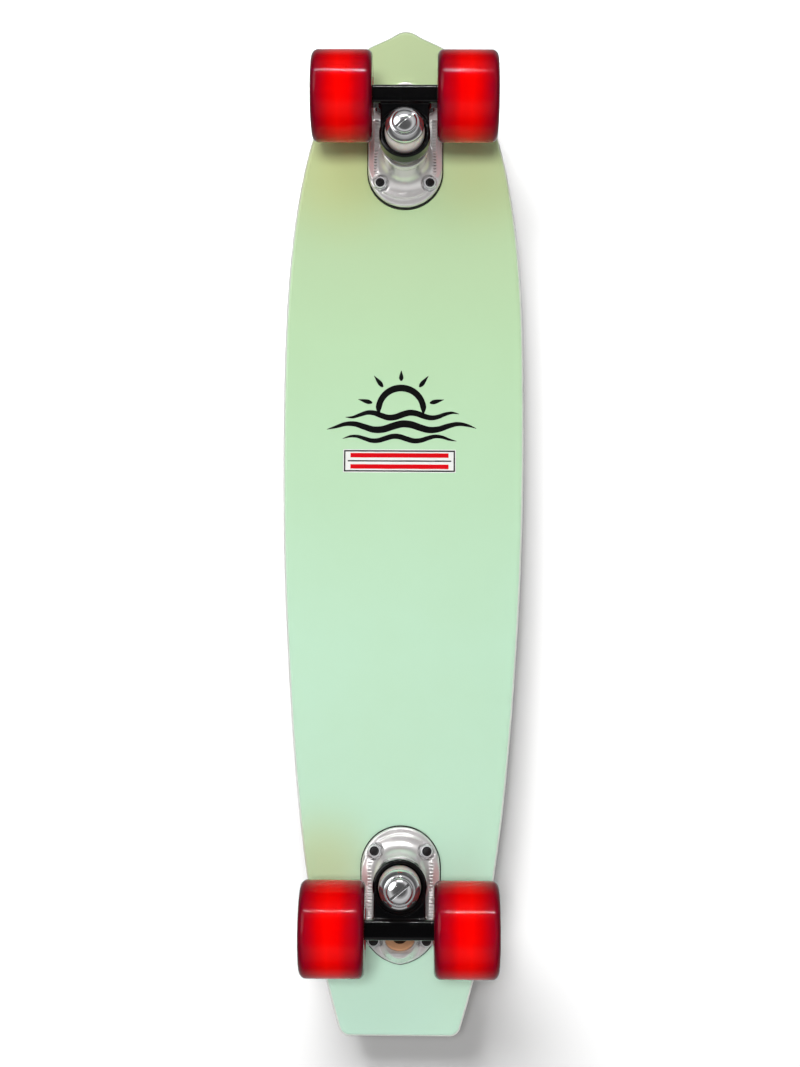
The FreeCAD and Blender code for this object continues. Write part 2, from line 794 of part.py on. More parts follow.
def make_axle_nut():
    start = outer_bearing_x + bearing_width + washer_thickness
    nut = hexagon(axle_nut_flats, axle_nut_height, on_axle(start), X)
    shape = Part.makeCone(axle_nut_flats / 2 + 3.6, axle_nut_flats / 2 - 0.4, 4.0,
                          on_axle(start + axle_nut_height - 3.2), X)
    block = cylinder(axle_nut_flats, axle_nut_height - 3.2, on_axle(start), X)
    return nut.common(shape.fuse(block)).cut(cylinder(axle_radius, 200, on_axle(0), X))


# ---- deck bolts, nuts and their locking inserts, for both trucks ------------------------
def make_bolts():
    """Flat-headed bolts, flush with the top of the deck and just past their nuts."""
    end = base_underside - base_flange - nut_height - bolt_past_nut
    length = deck_top - bolt_head_height * 0.5 - end
    solids = []
    for shank, head in zip(bolt_cutters(bolt_radius, end, length), head_cutters(0)):
        solids.append(shank.fuse(head))
    return Part.makeCompound(solids)


def make_nut(place):
    base = place + Z * base_flange
    body = hexagon(nut_flats, nut_hex_height, base, Z)
    collar = Part.makeCone(nut_collar_radius + 0.3, nut_collar_radius, nut_height - nut_hex_height,
                           base + Z * nut_hex_height, Z)
    hole = cylinder(bolt_radius, nut_height + 2, base - Z, Z)
    seat = cylinder(insert_radius, insert_height + 1, base + Z * (nut_height - insert_height), Z)
    return body.fuse(collar).cut([hole, seat])


def make_insert(place):
    start = place + Z * (base_flange + nut_height - insert_height)
    return tube(bolt_radius, insert_radius, insert_height - 0.2, start, Z)


def for_both_trucks(make):
    solids = []
    for place in bolt_places:
        solids.append(place_front(make(place)))
        solids.append(place_rear(make(place)))
    return Part.makeCompound(solids)


# ---- the whole board --------------------------------------------------------------------
def mirrored(shape):
    return shape.mirror(V(0, 0, 0), X)


truck_parts = {
    "riser_pad": make_riser,
    "baseplate": make_baseplate,
    "pivot_cup": make_pivot_cup,
    "kingpin": make_kingpin,
    "kingpin_nut": make_kingpin_nut,
    "lower_washer": make_lower_washer,
    "lower_cushion": make_lower_cushion,
    "upper_cushion": make_upper_cushion,
    "cup_washer": make_cup_washer,
    "hanger": make_hanger,
    "axle": make_axle,
}
wheel_parts = {
    "wheel": make_wheel,
    "bearing_outer_rings": make_outer_rings,
    "bearing_inner_rings": make_inner_rings,
    "bearing_balls": make_balls,
    "bearing_shields": make_shields,
    "bearing_spacer": make_spacer,
    "axle_washers": make_washers,
    "axle_nut": make_axle_nut,
}

nodes = {
    "deck": make_deck(),
    "grip_sheet": make_grip(),
    "deck_bolts": make_bolts(),
    "deck_nuts": for_both_trucks(make_nut),
    "deck_nut_inserts": for_both_trucks(make_insert),
}
for name, make in truck_parts.items():
    shape = make()
    nodes["front_" + name] = place_front(shape)
    nodes["rear_" + name] = place_rear(shape)
for name, make in wheel_parts.items():
    shape = make()
    # the front truck keeps its X, and the rear truck is turned about Y, which swaps its sides
    nodes["front_left_" + name] = place_front(shape)
    nodes["front_right_" + name] = place_front(mirrored(shape))
    nodes["rear_left_" + name] = place_rear(mirrored(shape))
    nodes["rear_right_" + name] = place_rear(shape)

os.makedirs("parts", exist_ok=True)
for name, shape in nodes.items():
    shape.exportStep("parts/" + name + ".step")
print(len(nodes), "nodes")
print("pivot axis, truck frame:", pivot_axis, "mouth:", pivot_mouth, "ring centre:", ring_centre)
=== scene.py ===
# %% [markdown]
# # A retro skateboard, seen from below
# The frame is the measured CAD model: it gives every piece its place and its motion.  This lesson
# dresses it.  Round pieces are turned again with finer edges, castings get soft fillets, and each
# surface gets the finish of its real material.  The frame could be shown as it is, but machined
# shapes with razor-sharp edges catch no light along them, and that is what gives a model away.

# %% Open the frame
import json
import math
import bpy
from mathutils import Euler, Matrix, Vector


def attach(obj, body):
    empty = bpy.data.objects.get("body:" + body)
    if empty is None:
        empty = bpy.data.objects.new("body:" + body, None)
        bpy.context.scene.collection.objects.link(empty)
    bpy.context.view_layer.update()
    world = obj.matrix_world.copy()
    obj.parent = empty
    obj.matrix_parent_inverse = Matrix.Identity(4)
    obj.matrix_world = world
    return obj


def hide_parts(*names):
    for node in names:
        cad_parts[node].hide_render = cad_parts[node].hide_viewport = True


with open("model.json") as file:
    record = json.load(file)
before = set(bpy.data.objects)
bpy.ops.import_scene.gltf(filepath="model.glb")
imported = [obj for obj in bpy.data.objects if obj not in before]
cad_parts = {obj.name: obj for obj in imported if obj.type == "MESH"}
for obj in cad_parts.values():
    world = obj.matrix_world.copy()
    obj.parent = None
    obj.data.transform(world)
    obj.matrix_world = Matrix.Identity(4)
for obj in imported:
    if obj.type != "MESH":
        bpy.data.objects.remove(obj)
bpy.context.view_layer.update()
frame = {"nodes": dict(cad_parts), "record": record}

print("CAD nodes:", len(frame["nodes"]))

# %% [markdown]
# ## Measures
# The two trucks are the same casting, one turned half round.  So every truck piece is made once, in
# the truck's own frame: +Y points outwards to the end of the board, +Z away from the deck, and
# z = 0 is the face of the baseplate that lies on the riser.  Two matrices then put the piece under
# the nose and under the tail.
# The pivot leans along the line from its mouth to the middle of the hanger's ring, which is the
# line that the hanger turns about.

# %% Places of the trucks, kingpins, pivots and axles
MM = 0.001
deck_thickness = 11.0
riser_thickness = 3.0
base_flange = 4.5               # the thin rim of the baseplate
wheel_radius, wheel_width = 33.5, 45.0
wheel_inner_face = 23.8         # from the middle of the board
axle_from_inner, axle_level = 67.2, 54.0
kingpin_from_inner, kingpin_tilt = 33.45, math.radians(4.8)
ring_along_kingpin = 49.0       # from the baseplate to the middle of the hanger's ring
pivot_mouth = (0.0, 79.3, 15.0)
inner_end = {"front": -236.4, "rear": 231.7}    # of each baseplate, along Y

base_underside = wheel_radius + axle_level
deck_underside = base_underside + riser_thickness
deck_top = deck_underside + deck_thickness
ring_out = kingpin_from_inner + ring_along_kingpin * math.sin(kingpin_tilt)
ring_level = ring_along_kingpin * math.cos(kingpin_tilt)
pivot_slope = math.atan2(pivot_mouth[1] - ring_out, pivot_mouth[2] - ring_level)


def shift(x, y, z):
    """A move given in millimetres."""
    return Matrix.Translation((x * MM, y * MM, z * MM))


truck_place = {
    "front": shift(0, inner_end["front"], base_underside) @ Matrix.Rotation(math.pi, 4, "X"),
    "rear": shift(0, inner_end["rear"], base_underside) @ Matrix.Rotation(math.pi, 4, "Y"),
}
on_kingpin = shift(0, kingpin_from_inner, 0) @ Matrix.Rotation(-kingpin_tilt, 4, "X")
on_pivot = shift(*pivot_mouth) @ Matrix.Rotation(-pivot_slope, 4, "X")
bolt_places = [(x, y) for x in (-19.05, 19.05) for y in (17.0, 80.5)]
print("deck underside at", deck_underside, "mm")

# %% [markdown]
# ## Hand tools
# A modeller works on one object at a time: selects it, gives it a modifier, applies that, and goes
# on.  These few functions do the same in code.  Each begins by deselecting everything, because an
# operator acts on all that is selected.

# %% Select and edit
def clear_selection():
    """Go back to object mode with nothing selected."""
    if bpy.context.object and bpy.context.object.mode != "OBJECT":
        bpy.ops.object.mode_set(mode="OBJECT")
    bpy.ops.object.select_all(action="DESELECT")


def only(obj):
    """Make obj the one selected and active object."""
    clear_selection()
    obj.select_set(True)
    bpy.context.view_layer.objects.active = obj
    return obj


def apply_modifier(obj, kind, **settings):
    """Add a modifier with its settings and apply it at once."""
    only(obj)
    modifier = obj.modifiers.new(kind.title(), kind)
    for name, value in settings.items():
        setattr(modifier, name, value)
    bpy.ops.object.modifier_apply(modifier=modifier.name)


def soften(obj, width, segments, angle):
    """A small round on every edge sharper than angle, as a deburred or moulded edge has."""
    apply_modifier(obj, "BEVEL", width=width * MM, segments=segments, limit_method="ANGLE",
                   angle_limit=math.radians(angle), harden_normals=False)
    return obj


def smooth(obj, angle):
    """Shade smooth, but leave a crease where two faces meet at more than angle."""
    only(obj)
    bpy.ops.object.shade_smooth_by_angle(angle=math.radians(angle))
    return obj


def merge_doubles(obj, turn_outwards):
    """Merge points that lie together, and point every face outwards if that is wanted."""
    only(obj)
    bpy.ops.object.mode_set(mode="EDIT")
    bpy.ops.mesh.select_all(action="SELECT")
    bpy.ops.mesh.remove_doubles(threshold=0.002 * MM)
    if turn_outwards:
        bpy.ops.mesh.normals_make_consistent(inside=False)
    bpy.ops.object.mode_set(mode="OBJECT")
    return obj


def settle(obj):
    """Bake the place into the mesh, so that the object sits at the origin."""
    only(obj)
    bpy.ops.object.transform_apply(location=True, rotation=True, scale=True)
    return obj


def twin(obj, name, matrix):
    """A copy with a mesh of its own, put in place."""
    copy = bpy.data.objects.new(name, obj.data.copy())
    bpy.context.scene.collection.objects.link(copy)
    copy.data.transform(matrix)
    return copy


def discard(*objects):
    for obj in objects:
        bpy.data.objects.remove(obj)


def block(size, place=(0, 0, 0), turn=0):
    """A block in millimetres, turned about Z in degrees: a start or a cutter."""
    clear_selection()
    bpy.ops.mesh.primitive_cube_add(size=1, location=[v * MM for v in place],
                                    rotation=(0, 0, math.radians(turn)),
                                    scale=[v * MM for v in size])
    return bpy.context.object


def cut(obj, cutter, operation="DIFFERENCE"):
    """Cut obj with another solid, which is used up."""
    apply_modifier(obj, "BOOLEAN", operation=operation, object=cutter, solver="EXACT")
    discard(cutter)


def joined(name, pieces):
    """Several pieces made into one object."""
    only(pieces[0])
    for piece in pieces:
        piece.select_set(True)
    bpy.ops.object.join()
    pieces[0].name = name
    return pieces[0]


# %% [markdown]
# ## Turning
# Wheels, washers and cushions are all round about one axis.  The way a lathe hand thinks of them
# is a list of (radius, height) steps, so `turned` starts from a circle and extrudes and scales its
# edge ring from one step to the next.  Spin would do as well; rings keep every radius exact.

# %% Turn a profile
def turned(name, steps, sides=96):
    """A solid about Z from (radius, height) steps in mm, from axis to axis or all round."""
    nearly_axis = 0.001         # a ring cannot shrink to nothing, so it stops here and is merged
    radius, height = steps[0]
    on_axis = radius == 0
    if on_axis:
        radius, height = steps[1]
        steps = [(0, height)] + steps[1:]
    clear_selection()
    bpy.context.tool_settings.mesh_select_mode = (True, False, False)
    fill = "NGON" if on_axis else "NOTHING"
    bpy.ops.mesh.primitive_circle_add(vertices=sides, radius=radius * MM, fill_type=fill,
                                      location=(0, 0, height * MM))
    obj = bpy.context.object
    obj.name = name
    bpy.ops.object.mode_set(mode="EDIT")
    bpy.ops.mesh.select_all(action="SELECT")
    later = steps[2:] if on_axis else steps[1:]
    for next_radius, next_height in later:
        bpy.ops.mesh.extrude_region_move()
        bpy.ops.transform.translate(value=(0, 0, (next_height - height) * MM))
        next_radius = max(next_radius, nearly_axis)
        factor = next_radius / radius
        bpy.ops.transform.resize(value=(factor, factor, 1))
        radius, height = next_radius, next_height
    settle(obj)
    return merge_doubles(obj, turn_outwards=True)


def arc(centre_r, centre_z, radius, start, end, count):
    """Steps along a round: angles in degrees, 0 points outwards and 90 up."""
    steps = []
    for i in range(count + 1):
        a = math.radians(start + (end - start) * i / count)
        steps.append((centre_r + radius * math.cos(a), centre_z + radius * math.sin(a)))
    return steps


# %% [markdown]
# ## Colour and finish
# Colours are written as on a paint chart and turned to linear light by one function.  A finish is a
# Principled shader plus the few nodes that give its grain, each scaled in millimetres.

# %% Colour and node helpers
def paint(code):
    """An sRGB hex colour as linear RGBA."""
    values = [int(code[i:i + 2], 16) / 255 for i in (1, 3, 5)]
    linear = [v / 12.92 if v <= 0.04045 else ((v + 0.055) / 1.055) ** 2.4 for v in values]
    return (*linear, 1.0)


def add(tree, kind, settings=None, inputs=None):
    """Add one node: its settings, then its inputs, each a plain value or another node's output."""
    made = tree.nodes.new(kind)
    for name, value in (settings or {}).items():
        setattr(made, name, value)
    for name, value in (inputs or {}).items():
        if isinstance(value, bpy.types.NodeSocket):
            tree.links.new(value, made.inputs[name])
        else:
            made.inputs[name].default_value = value
    return made


def finish(name, colour, metallic, roughness, **more):
    """A material, its node tree and its shader, with what is even all over set on the shader."""
    material = bpy.data.materials.new(name)
    material.use_nodes = True
    shader = material.node_tree.nodes["Principled BSDF"]
    shader.inputs["Base Color"].default_value = paint(colour)
    shader.inputs["Metallic"].default_value = metallic
    shader.inputs["Roughness"].default_value = roughness
    for socket, value in more.items():
        shader.inputs[socket.replace("_", " ")].default_value = value
    material.diffuse_color = paint(colour)
    return material, material.node_tree, shader


def stops(ramp_node, pairs):
    """Set a colour ramp from (position, colour) pairs."""
    ramp = ramp_node.color_ramp
    while len(ramp.elements) > 1:
        ramp.elements.remove(ramp.elements[-1])
    ramp.elements[0].position, ramp.elements[0].color = pairs[0]
    for position, colour in pairs[1:]:
        ramp.elements.new(position).color = colour


def grey(value):
    return (value, value, value, 1.0)


PER_MM = 1000.0     # a Noise scale of PER_MM / s has features about s millimetres across

# %% [markdown]
# ### Painted maple ply
# The deck is seven veneers of maple, pressed flat and painted pale green on its lower face, with
# the paint carried round the lower edge.  The sides show the veneers as thin stripes, and the top
# under the grip is bare wood under lacquer.  One material serves all three, told apart by height.

# %% The deck's finish
def deck_finish():
    """Gloss enamel on ply: a coat with a faint orange peel, over striped wood at the sides."""
    material, tree, shader = finish("painted_maple_ply", "#BCE2B8", 0.0, 0.34, Coat_Weight=0.2,
                                    Coat_Roughness=0.22, Specular_IOR_Level=0.35)
    place = add(tree, "ShaderNodeTexCoord").outputs["Object"]
    axes = add(tree, "ShaderNodeSeparateXYZ", None, {0: place})
    # painted warm light: the colour turns yellower towards the nose, where warm light falls
    half_length = 380 * MM
    along = add(tree, "ShaderNodeMapRange", None,
                {"Value": axes.outputs["Y"], "From Min": -half_length, "From Max": half_length})
    painted_warm_light = add(tree, "ShaderNodeValToRGB", None, {0: along.outputs[0]})
    stops(painted_warm_light, [(0.0, paint("#BFD09C")), (0.17, paint("#BBD4A5")), (0.33, paint("#BEE0B5")),
                 (0.62, paint("#BFE5C8")), (1.0, paint("#C1E6D2"))])
    cloud = add(tree, "ShaderNodeTexNoise", None,
                {"Vector": place, "Scale": PER_MM / 120, "Detail": 3.0, "Roughness": 0.6})
    tint = add(tree, "ShaderNodeMapRange", None,
               {"Value": cloud.outputs[0], "From Min": 0.3, "From Max": 0.7, "To Max": 0.18})
    coat = add(tree, "ShaderNodeMix", {"data_type": "RGBA"},
               {"Factor": tint.outputs[0], "A": painted_warm_light.outputs[0], "B": paint("#B2D3A6")})
    # painted highlight: the colour goes near white on the round of the lower edge
    edge_highlight = add(tree, "ShaderNodeMapRange", {"interpolation_type": "SMOOTHSTEP"},
                     {"Value": axes.outputs["Z"], "From Min": (deck_underside + 0.15) * MM,
                      "From Max": (deck_underside + 1.0) * MM})
    coat = add(tree, "ShaderNodeMix", {"data_type": "RGBA"},
               {"Factor": edge_highlight.outputs[0], "A": coat.outputs["Result"],
                "B": paint("#FAFFF7")})
    # painted warm light in three patches beside the trucks: middle, reach in metres, strength
    warm_light_patches = (((-0.058, 0.262, 0.09), 0.062, 0.5), ((-0.05, -0.27, 0.09), 0.085, 0.5),
              ((0.06, -0.265, 0.09), 0.07, 0.3))
    for spot, reach, strength in warm_light_patches:
        away = add(tree, "ShaderNodeVectorMath", {"operation": "DISTANCE"}, {0: place, 1: spot})
        warm_light_patch = add(tree, "ShaderNodeMapRange", {"interpolation_type": "SMOOTHERSTEP"},
                    {"Value": away.outputs["Value"], "From Min": 0.0, "From Max": reach,
                     "To Min": strength, "To Max": 0.0})
        coat = add(tree, "ShaderNodeMix", {"data_type": "RGBA"},
                   {"Factor": warm_light_patch.outputs[0], "A": coat.outputs["Result"], "B": paint("#C3C77E")})
    # seven veneers, each crossed to the last, so every other one shows end grain
    veneer_thickness = deck_thickness / 7 * MM
    per_veneer = 637.0          # brings a height within a veneer to the range 0 to 1
    veneer = add(tree, "ShaderNodeMath", {"operation": "PINGPONG"},
                 {0: axes.outputs["Z"], 1: veneer_thickness})
    bands = add(tree, "ShaderNodeMath", {"operation": "MULTIPLY"},
                {0: veneer.outputs[0], 1: per_veneer})
    fibre_place = add(tree, "ShaderNodeMapping", None, {"Vector": place, "Scale": (14, 1.0, 60)})
    fibre = add(tree, "ShaderNodeTexNoise", None,
                {"Vector": fibre_place.outputs[0], "Scale": PER_MM / 14, "Detail": 6.0})
    mixed = add(tree, "ShaderNodeMath", {"operation": "MULTIPLY_ADD"},
                {0: fibre.outputs[0], 1: 0.7, 2: bands.outputs[0]})
    wood = add(tree, "ShaderNodeValToRGB", None, {0: mixed.outputs[0]})
    stops(wood, [(0.2, paint("#A97B4B")), (0.55, paint("#D9B98A")), (1.0, paint("#EBD6AE"))])
    # the paint ends in a worn line just above the lower round of the edge
    paint_end = deck_underside + 3.4
    worn = add(tree, "ShaderNodeTexNoise", None,
               {"Vector": place, "Scale": PER_MM / 6, "Detail": 4.0})
    line = add(tree, "ShaderNodeMath", {"operation": "MULTIPLY_ADD"},
               {0: worn.outputs[0], 1: 0.7 * MM, 2: axes.outputs["Z"]})
    above = add(tree, "ShaderNodeMath", {"operation": "GREATER_THAN"},
                {0: line.outputs[0], 1: paint_end * MM})
    both = add(tree, "ShaderNodeMix", {"data_type": "RGBA"},
               {"Factor": above.outputs[0], "A": coat.outputs["Result"], "B": wood.outputs[0]})
    tree.links.new(both.outputs["Result"], shader.inputs["Base Color"])
    gloss = add(tree, "ShaderNodeMapRange", None,
                {"Value": above.outputs[0], "To Min": 0.34, "To Max": 0.5})
    tree.links.new(gloss.outputs[0], shader.inputs["Roughness"])
    peel = add(tree, "ShaderNodeTexNoise", None,
               {"Vector": place, "Scale": PER_MM / 3.5, "Detail": 2.0})
    bump = add(tree, "ShaderNodeBump", None,
               {"Height": peel.outputs[0], "Strength": 0.05, "Distance": 0.3 * MM})
    tree.links.new(bump.outputs[0], shader.inputs["Normal"])
    return material


# %% [markdown]
# ### Grip sheet
# Grit glued to a black sheet.  The grains are about half a millimetre, too fine to show at this
# size, so they are drawn at 1.2 mm, with a scatter of paler grains that catch the light.

# %% The grip's finish
def grip_finish():
    """Black grit: a cell pattern for the grains and a slow noise for the dust on them."""
    material, tree, shader = finish("grit_sheet", "#1B1B1D", 0.0, 0.85, Specular_IOR_Level=0.3)
    place = add(tree, "ShaderNodeTexCoord").outputs["Object"]
    grains = add(tree, "ShaderNodeTexVoronoi", None, {"Vector": place, "Scale": PER_MM / 1.2})
    dust = add(tree, "ShaderNodeTexNoise", None,
               {"Vector": place, "Scale": PER_MM / 60, "Detail": 5.0})
    shade = add(tree, "ShaderNodeMath", {"operation": "MULTIPLY_ADD"},
                {0: dust.outputs[0], 1: 0.5, 2: grains.outputs["Distance"]})
    tone = add(tree, "ShaderNodeValToRGB", None, {0: shade.outputs[0]})
    stops(tone, [(0.3, paint("#3A3A3D")), (0.42, paint("#222224")), (0.9, paint("#121213"))])
    tree.links.new(tone.outputs[0], shader.inputs["Base Color"])
    bump = add(tree, "ShaderNodeBump", {"invert": True},
               {"Height": grains.outputs["Distance"], "Strength": 0.7, "Distance": 0.4 * MM})
    tree.links.new(bump.outputs[0], shader.inputs["Normal"])
    return material


# %% [markdown]
# ### Metals
# Polished cast aluminium keeps the soft waviness of the mould and the fine lines of the buffing
# wheel.  Chrome is the clean one, with only faint wipe marks.  Zinc plate is duller and a little
# blotched.  All metals keep the default IOR and differ in colour, roughness and grain.  In corners,
# such as round a nut, the colour is darkened as painted shade, where ambient occlusion finds them.

# %% Metal finishes
def metal_finish(name, colour, dark, metallic, roughness, spread, lines_mm, wave_mm, wave,
                 corner_shade_mm=0):
    """Metal with blotches of colour, streaked roughness along X, and a waviness of wave_mm.
    Corners narrower than the given corner distance in mm get painted shade: their colour is
    darkened."""
    material, tree, shader = finish(name, colour, metallic, roughness)
    place = add(tree, "ShaderNodeTexCoord").outputs["Object"]
    blotch = add(tree, "ShaderNodeTexNoise", None,
                 {"Vector": place, "Scale": PER_MM / 9, "Detail": 4.0})
    tone = add(tree, "ShaderNodeMix", {"data_type": "RGBA"},
               {"Factor": blotch.outputs[0], "A": paint(dark), "B": paint(colour)})
    tree.links.new(tone.outputs["Result"], shader.inputs["Base Color"])
    # painted shade: ambient occlusion darkens the colour in corners, down to 0.16 of it
    if corner_shade_mm:
        corner = add(tree, "ShaderNodeAmbientOcclusion", {"samples": 8},
                     {"Distance": corner_shade_mm * MM})
        corner_darkening = add(tree, "ShaderNodeMapRange", {"interpolation_type": "SMOOTHSTEP"},
                    {"Value": corner.outputs["AO"], "From Min": 0.3, "From Max": 0.8,
                     "To Min": 0.16})
        shaded_tone = add(tree, "ShaderNodeVectorMath", {"operation": "SCALE"},
                   {0: tone.outputs["Result"], "Scale": corner_darkening.outputs[0]})
        tree.links.new(shaded_tone.outputs[0], shader.inputs["Base Color"])
    length = 14                 # a buffing line is this many times as long as it is wide
    stretched = add(tree, "ShaderNodeMapping", None,
                    {"Vector": place, "Scale": (1, length, length)})
    lines = add(tree, "ShaderNodeTexNoise", None,
                {"Vector": stretched.outputs[0], "Scale": PER_MM / (length * lines_mm),
                 "Detail": 3.0})
    rough = add(tree, "ShaderNodeMapRange", None,
                {"Value": lines.outputs[0], "From Min": 0.25, "From Max": 0.75,
                 "To Min": roughness - spread, "To Max": roughness + spread})
    tree.links.new(rough.outputs[0], shader.inputs["Roughness"])
    ripple = add(tree, "ShaderNodeTexNoise", None,
                 {"Vector": place, "Scale": PER_MM / wave_mm, "Detail": 3.0})
    bump = add(tree, "ShaderNodeBump", None,
               {"Height": ripple.outputs[0], "Strength": wave, "Distance": 0.5 * MM})
    tree.links.new(bump.outputs[0], shader.inputs["Normal"])
    return material


# %% [markdown]
# ### Gloss black enamel
# The hangers are dipped in black enamel over the cast skin, so the surface is deep black and
# mirror-like, but gently lumpy.  A clear coat gives the mirror, a 7 mm noise gives the lumps.
# Moulded, rubbery and printed surfaces are simpler: two close tones and a fine grain.

# %% Enamel, and moulded or printed surfaces
def enamel_finish():
    """Black enamel: a clear coat over black, with lumps and specks about 6 mm across."""
    material, tree, shader = finish("gloss_black_enamel", "#040405", 0.0, 0.3, Coat_Weight=0.5,
                                    Coat_Roughness=0.04, Specular_IOR_Level=0.12)
    place = add(tree, "ShaderNodeTexCoord").outputs["Object"]
    lumps = add(tree, "ShaderNodeTexNoise", None,
                {"Vector": place, "Scale": PER_MM / 7, "Detail": 1.0})
    bump = add(tree, "ShaderNodeBump", None,
               {"Height": lumps.outputs[0], "Strength": 0.04, "Distance": 0.5 * MM})
    for socket in ("Normal", "Coat Normal"):
        tree.links.new(bump.outputs[0], shader.inputs[socket])
    specks = add(tree, "ShaderNodeTexNoise", None,
                 {"Vector": place, "Scale": PER_MM / 6, "Detail": 2.0})
    wear = add(tree, "ShaderNodeMapRange", None,
               {"Value": specks.outputs[0], "From Min": 0.3, "From Max": 0.8,
                "To Min": 0.14, "To Max": 0.24})
    tree.links.new(wear.outputs[0], shader.inputs["Roughness"])
    return material


def plain_finish(name, colour, other, roughness, grain_mm, depth, **more):
    """A moulded or coated surface: two close tones and a fine texture grain_mm across."""
    material, tree, shader = finish(name, colour, 0.0, roughness, **more)
    place = add(tree, "ShaderNodeTexCoord").outputs["Object"]
    patch = add(tree, "ShaderNodeTexNoise", None,
                {"Vector": place, "Scale": PER_MM / 8, "Detail": 4.0})
    tone = add(tree, "ShaderNodeMix", {"data_type": "RGBA"},
               {"Factor": patch.outputs[0], "A": paint(colour), "B": paint(other)})
    tree.links.new(tone.outputs["Result"], shader.inputs["Base Color"])
    grain = add(tree, "ShaderNodeTexNoise", None,
                {"Vector": place, "Scale": PER_MM / grain_mm, "Detail": 2.0})
    bump = add(tree, "ShaderNodeBump", None,
               {"Height": grain.outputs[0], "Strength": depth, "Distance": 0.3 * MM})
    tree.links.new(bump.outputs[0], shader.inputs["Normal"])
    return material


# %% [markdown]
# ### Red urethane
# The wheels are poured in clear red urethane.  Light enters the tread and scatters, so the middle
# glows orange-red while the lips, where the light leaves sideways, go dark crimson.  Scattering
# below the surface gives the glow; the darker lips are painted shade, a blend across the width.
# The blend is for the tread: nearer the axle than the lips, on the side faces, one red is used.

# %% The wheels' finish
def urethane_finish():
    """Clear red urethane, with painted shade that darkens the tread towards both lips."""
    material, tree, shader = finish("clear_red_urethane", "#F00810", 0.0, 0.12, Coat_Weight=0.12,
                                    Coat_Roughness=0.03, Specular_IOR_Level=0.06,
                                    Subsurface_Weight=0.3, Subsurface_Scale=5 * MM)
    shader.inputs["Subsurface Radius"].default_value = (1.0, 0.05, 0.03)
    place = add(tree, "ShaderNodeTexCoord").outputs["Object"]
    axes = add(tree, "ShaderNodeSeparateXYZ", None, {0: place})
    side = add(tree, "ShaderNodeMath", {"operation": "ABSOLUTE"}, {0: axes.outputs["X"]})
    across = add(tree, "ShaderNodeMapRange", None,
                 {"Value": side.outputs[0], "From Min": wheel_inner_face * MM,
                  "From Max": (wheel_inner_face + wheel_width) * MM})
    swirl = add(tree, "ShaderNodeTexNoise", None,
                {"Vector": place, "Scale": PER_MM / 16, "Detail": 2.0})
    swirl_depth = 0.06          # of the tread's width
    drift = add(tree, "ShaderNodeMath", {"operation": "MULTIPLY_ADD"},
                {0: swirl.outputs[0], 1: swirl_depth, 2: across.outputs[0]})
    centred = add(tree, "ShaderNodeMath", {"operation": "SUBTRACT"},
                  {0: drift.outputs[0], 1: swirl_depth / 2})
    # painted shade: this ramp runs from dark crimson at both lips to bright red mid-tread
    depth = add(tree, "ShaderNodeValToRGB", None, {0: centred.outputs[0]})
    # the distance from the axle, which is as far before the middle of the trucks as behind it
    trucks_middle = (inner_end["rear"] + inner_end["front"]) / 2
    half_wheelbase = (inner_end["rear"] - inner_end["front"]) / 2 + axle_from_inner
    middle = add(tree, "ShaderNodeMath", {"operation": "SUBTRACT"},
                 {0: axes.outputs["Y"], 1: trucks_middle * MM})
    either = add(tree, "ShaderNodeMath", {"operation": "ABSOLUTE"}, {0: middle.outputs[0]})
    out = add(tree, "ShaderNodeMath", {"operation": "SUBTRACT"},
              {0: either.outputs[0], 1: half_wheelbase * MM})
    up = add(tree, "ShaderNodeMath", {"operation": "SUBTRACT"},
             {0: axes.outputs["Z"], 1: wheel_radius * MM})
    spoke = add(tree, "ShaderNodeCombineXYZ", None, {1: out.outputs[0], 2: up.outputs[0]})
    radius = add(tree, "ShaderNodeVectorMath", {"operation": "LENGTH"}, {0: spoke.outputs[0]})
    lip = add(tree, "ShaderNodeMapRange", {"interpolation_type": "SMOOTHSTEP"},
              {"Value": radius.outputs["Value"], "From Min": 24 * MM, "From Max": 31.5 * MM})
    body = add(tree, "ShaderNodeMix", {"data_type": "RGBA"},
               {"Factor": lip.outputs[0], "A": paint("#D00512"), "B": depth.outputs[0]})
    # painted shade at both lips, painted light in the middle of the tread
    stops(depth, [(0.0, paint("#4E0216")), (0.06, paint("#7C041C")), (0.15, paint("#AE0319")),
                  (0.27, paint("#CC010D")), (0.38, paint("#F20002")), (0.56, paint("#FC0400")),
                  (0.7, paint("#E20004")), (0.82, paint("#B80214")), (0.91, paint("#90051E")),
                  (1.0, paint("#5A041C"))])
    tree.links.new(body.outputs["Result"], shader.inputs["Base Color"])
    scuffs = add(tree, "ShaderNodeMapping", None, {"Vector": place, "Scale": (6, 1, 1)})
    marks = add(tree, "ShaderNodeTexNoise", None,
                {"Vector": scuffs.outputs[0], "Scale": PER_MM / 7, "Detail": 5.0})
    gloss = add(tree, "ShaderNodeMapRange", None,
                {"Value": marks.outputs[0], "From Min": 0.35, "From Max": 0.75,
                 "To Min": 0.02, "To Max": 0.07})
    tree.links.new(gloss.outputs[0], shader.inputs["Roughness"])
    bump = add(tree, "ShaderNodeBump", None,
               {"Height": marks.outputs[0], "Strength": 0.05, "Distance": 0.3 * MM})
    tree.links.new(bump.outputs[0], shader.inputs["Normal"])
    return material


# %% [markdown]
# ### All the finishes
# Each material slot of the frame gets one finish.  The metals differ in how bright and how
# blurred their mirror is: chrome is nearly perfect, ground steel comes next, and cast aluminium
# and zinc are less metallic here, as thin oxide makes them.  Black oxide, nylon and rubber differ
# in their grain.

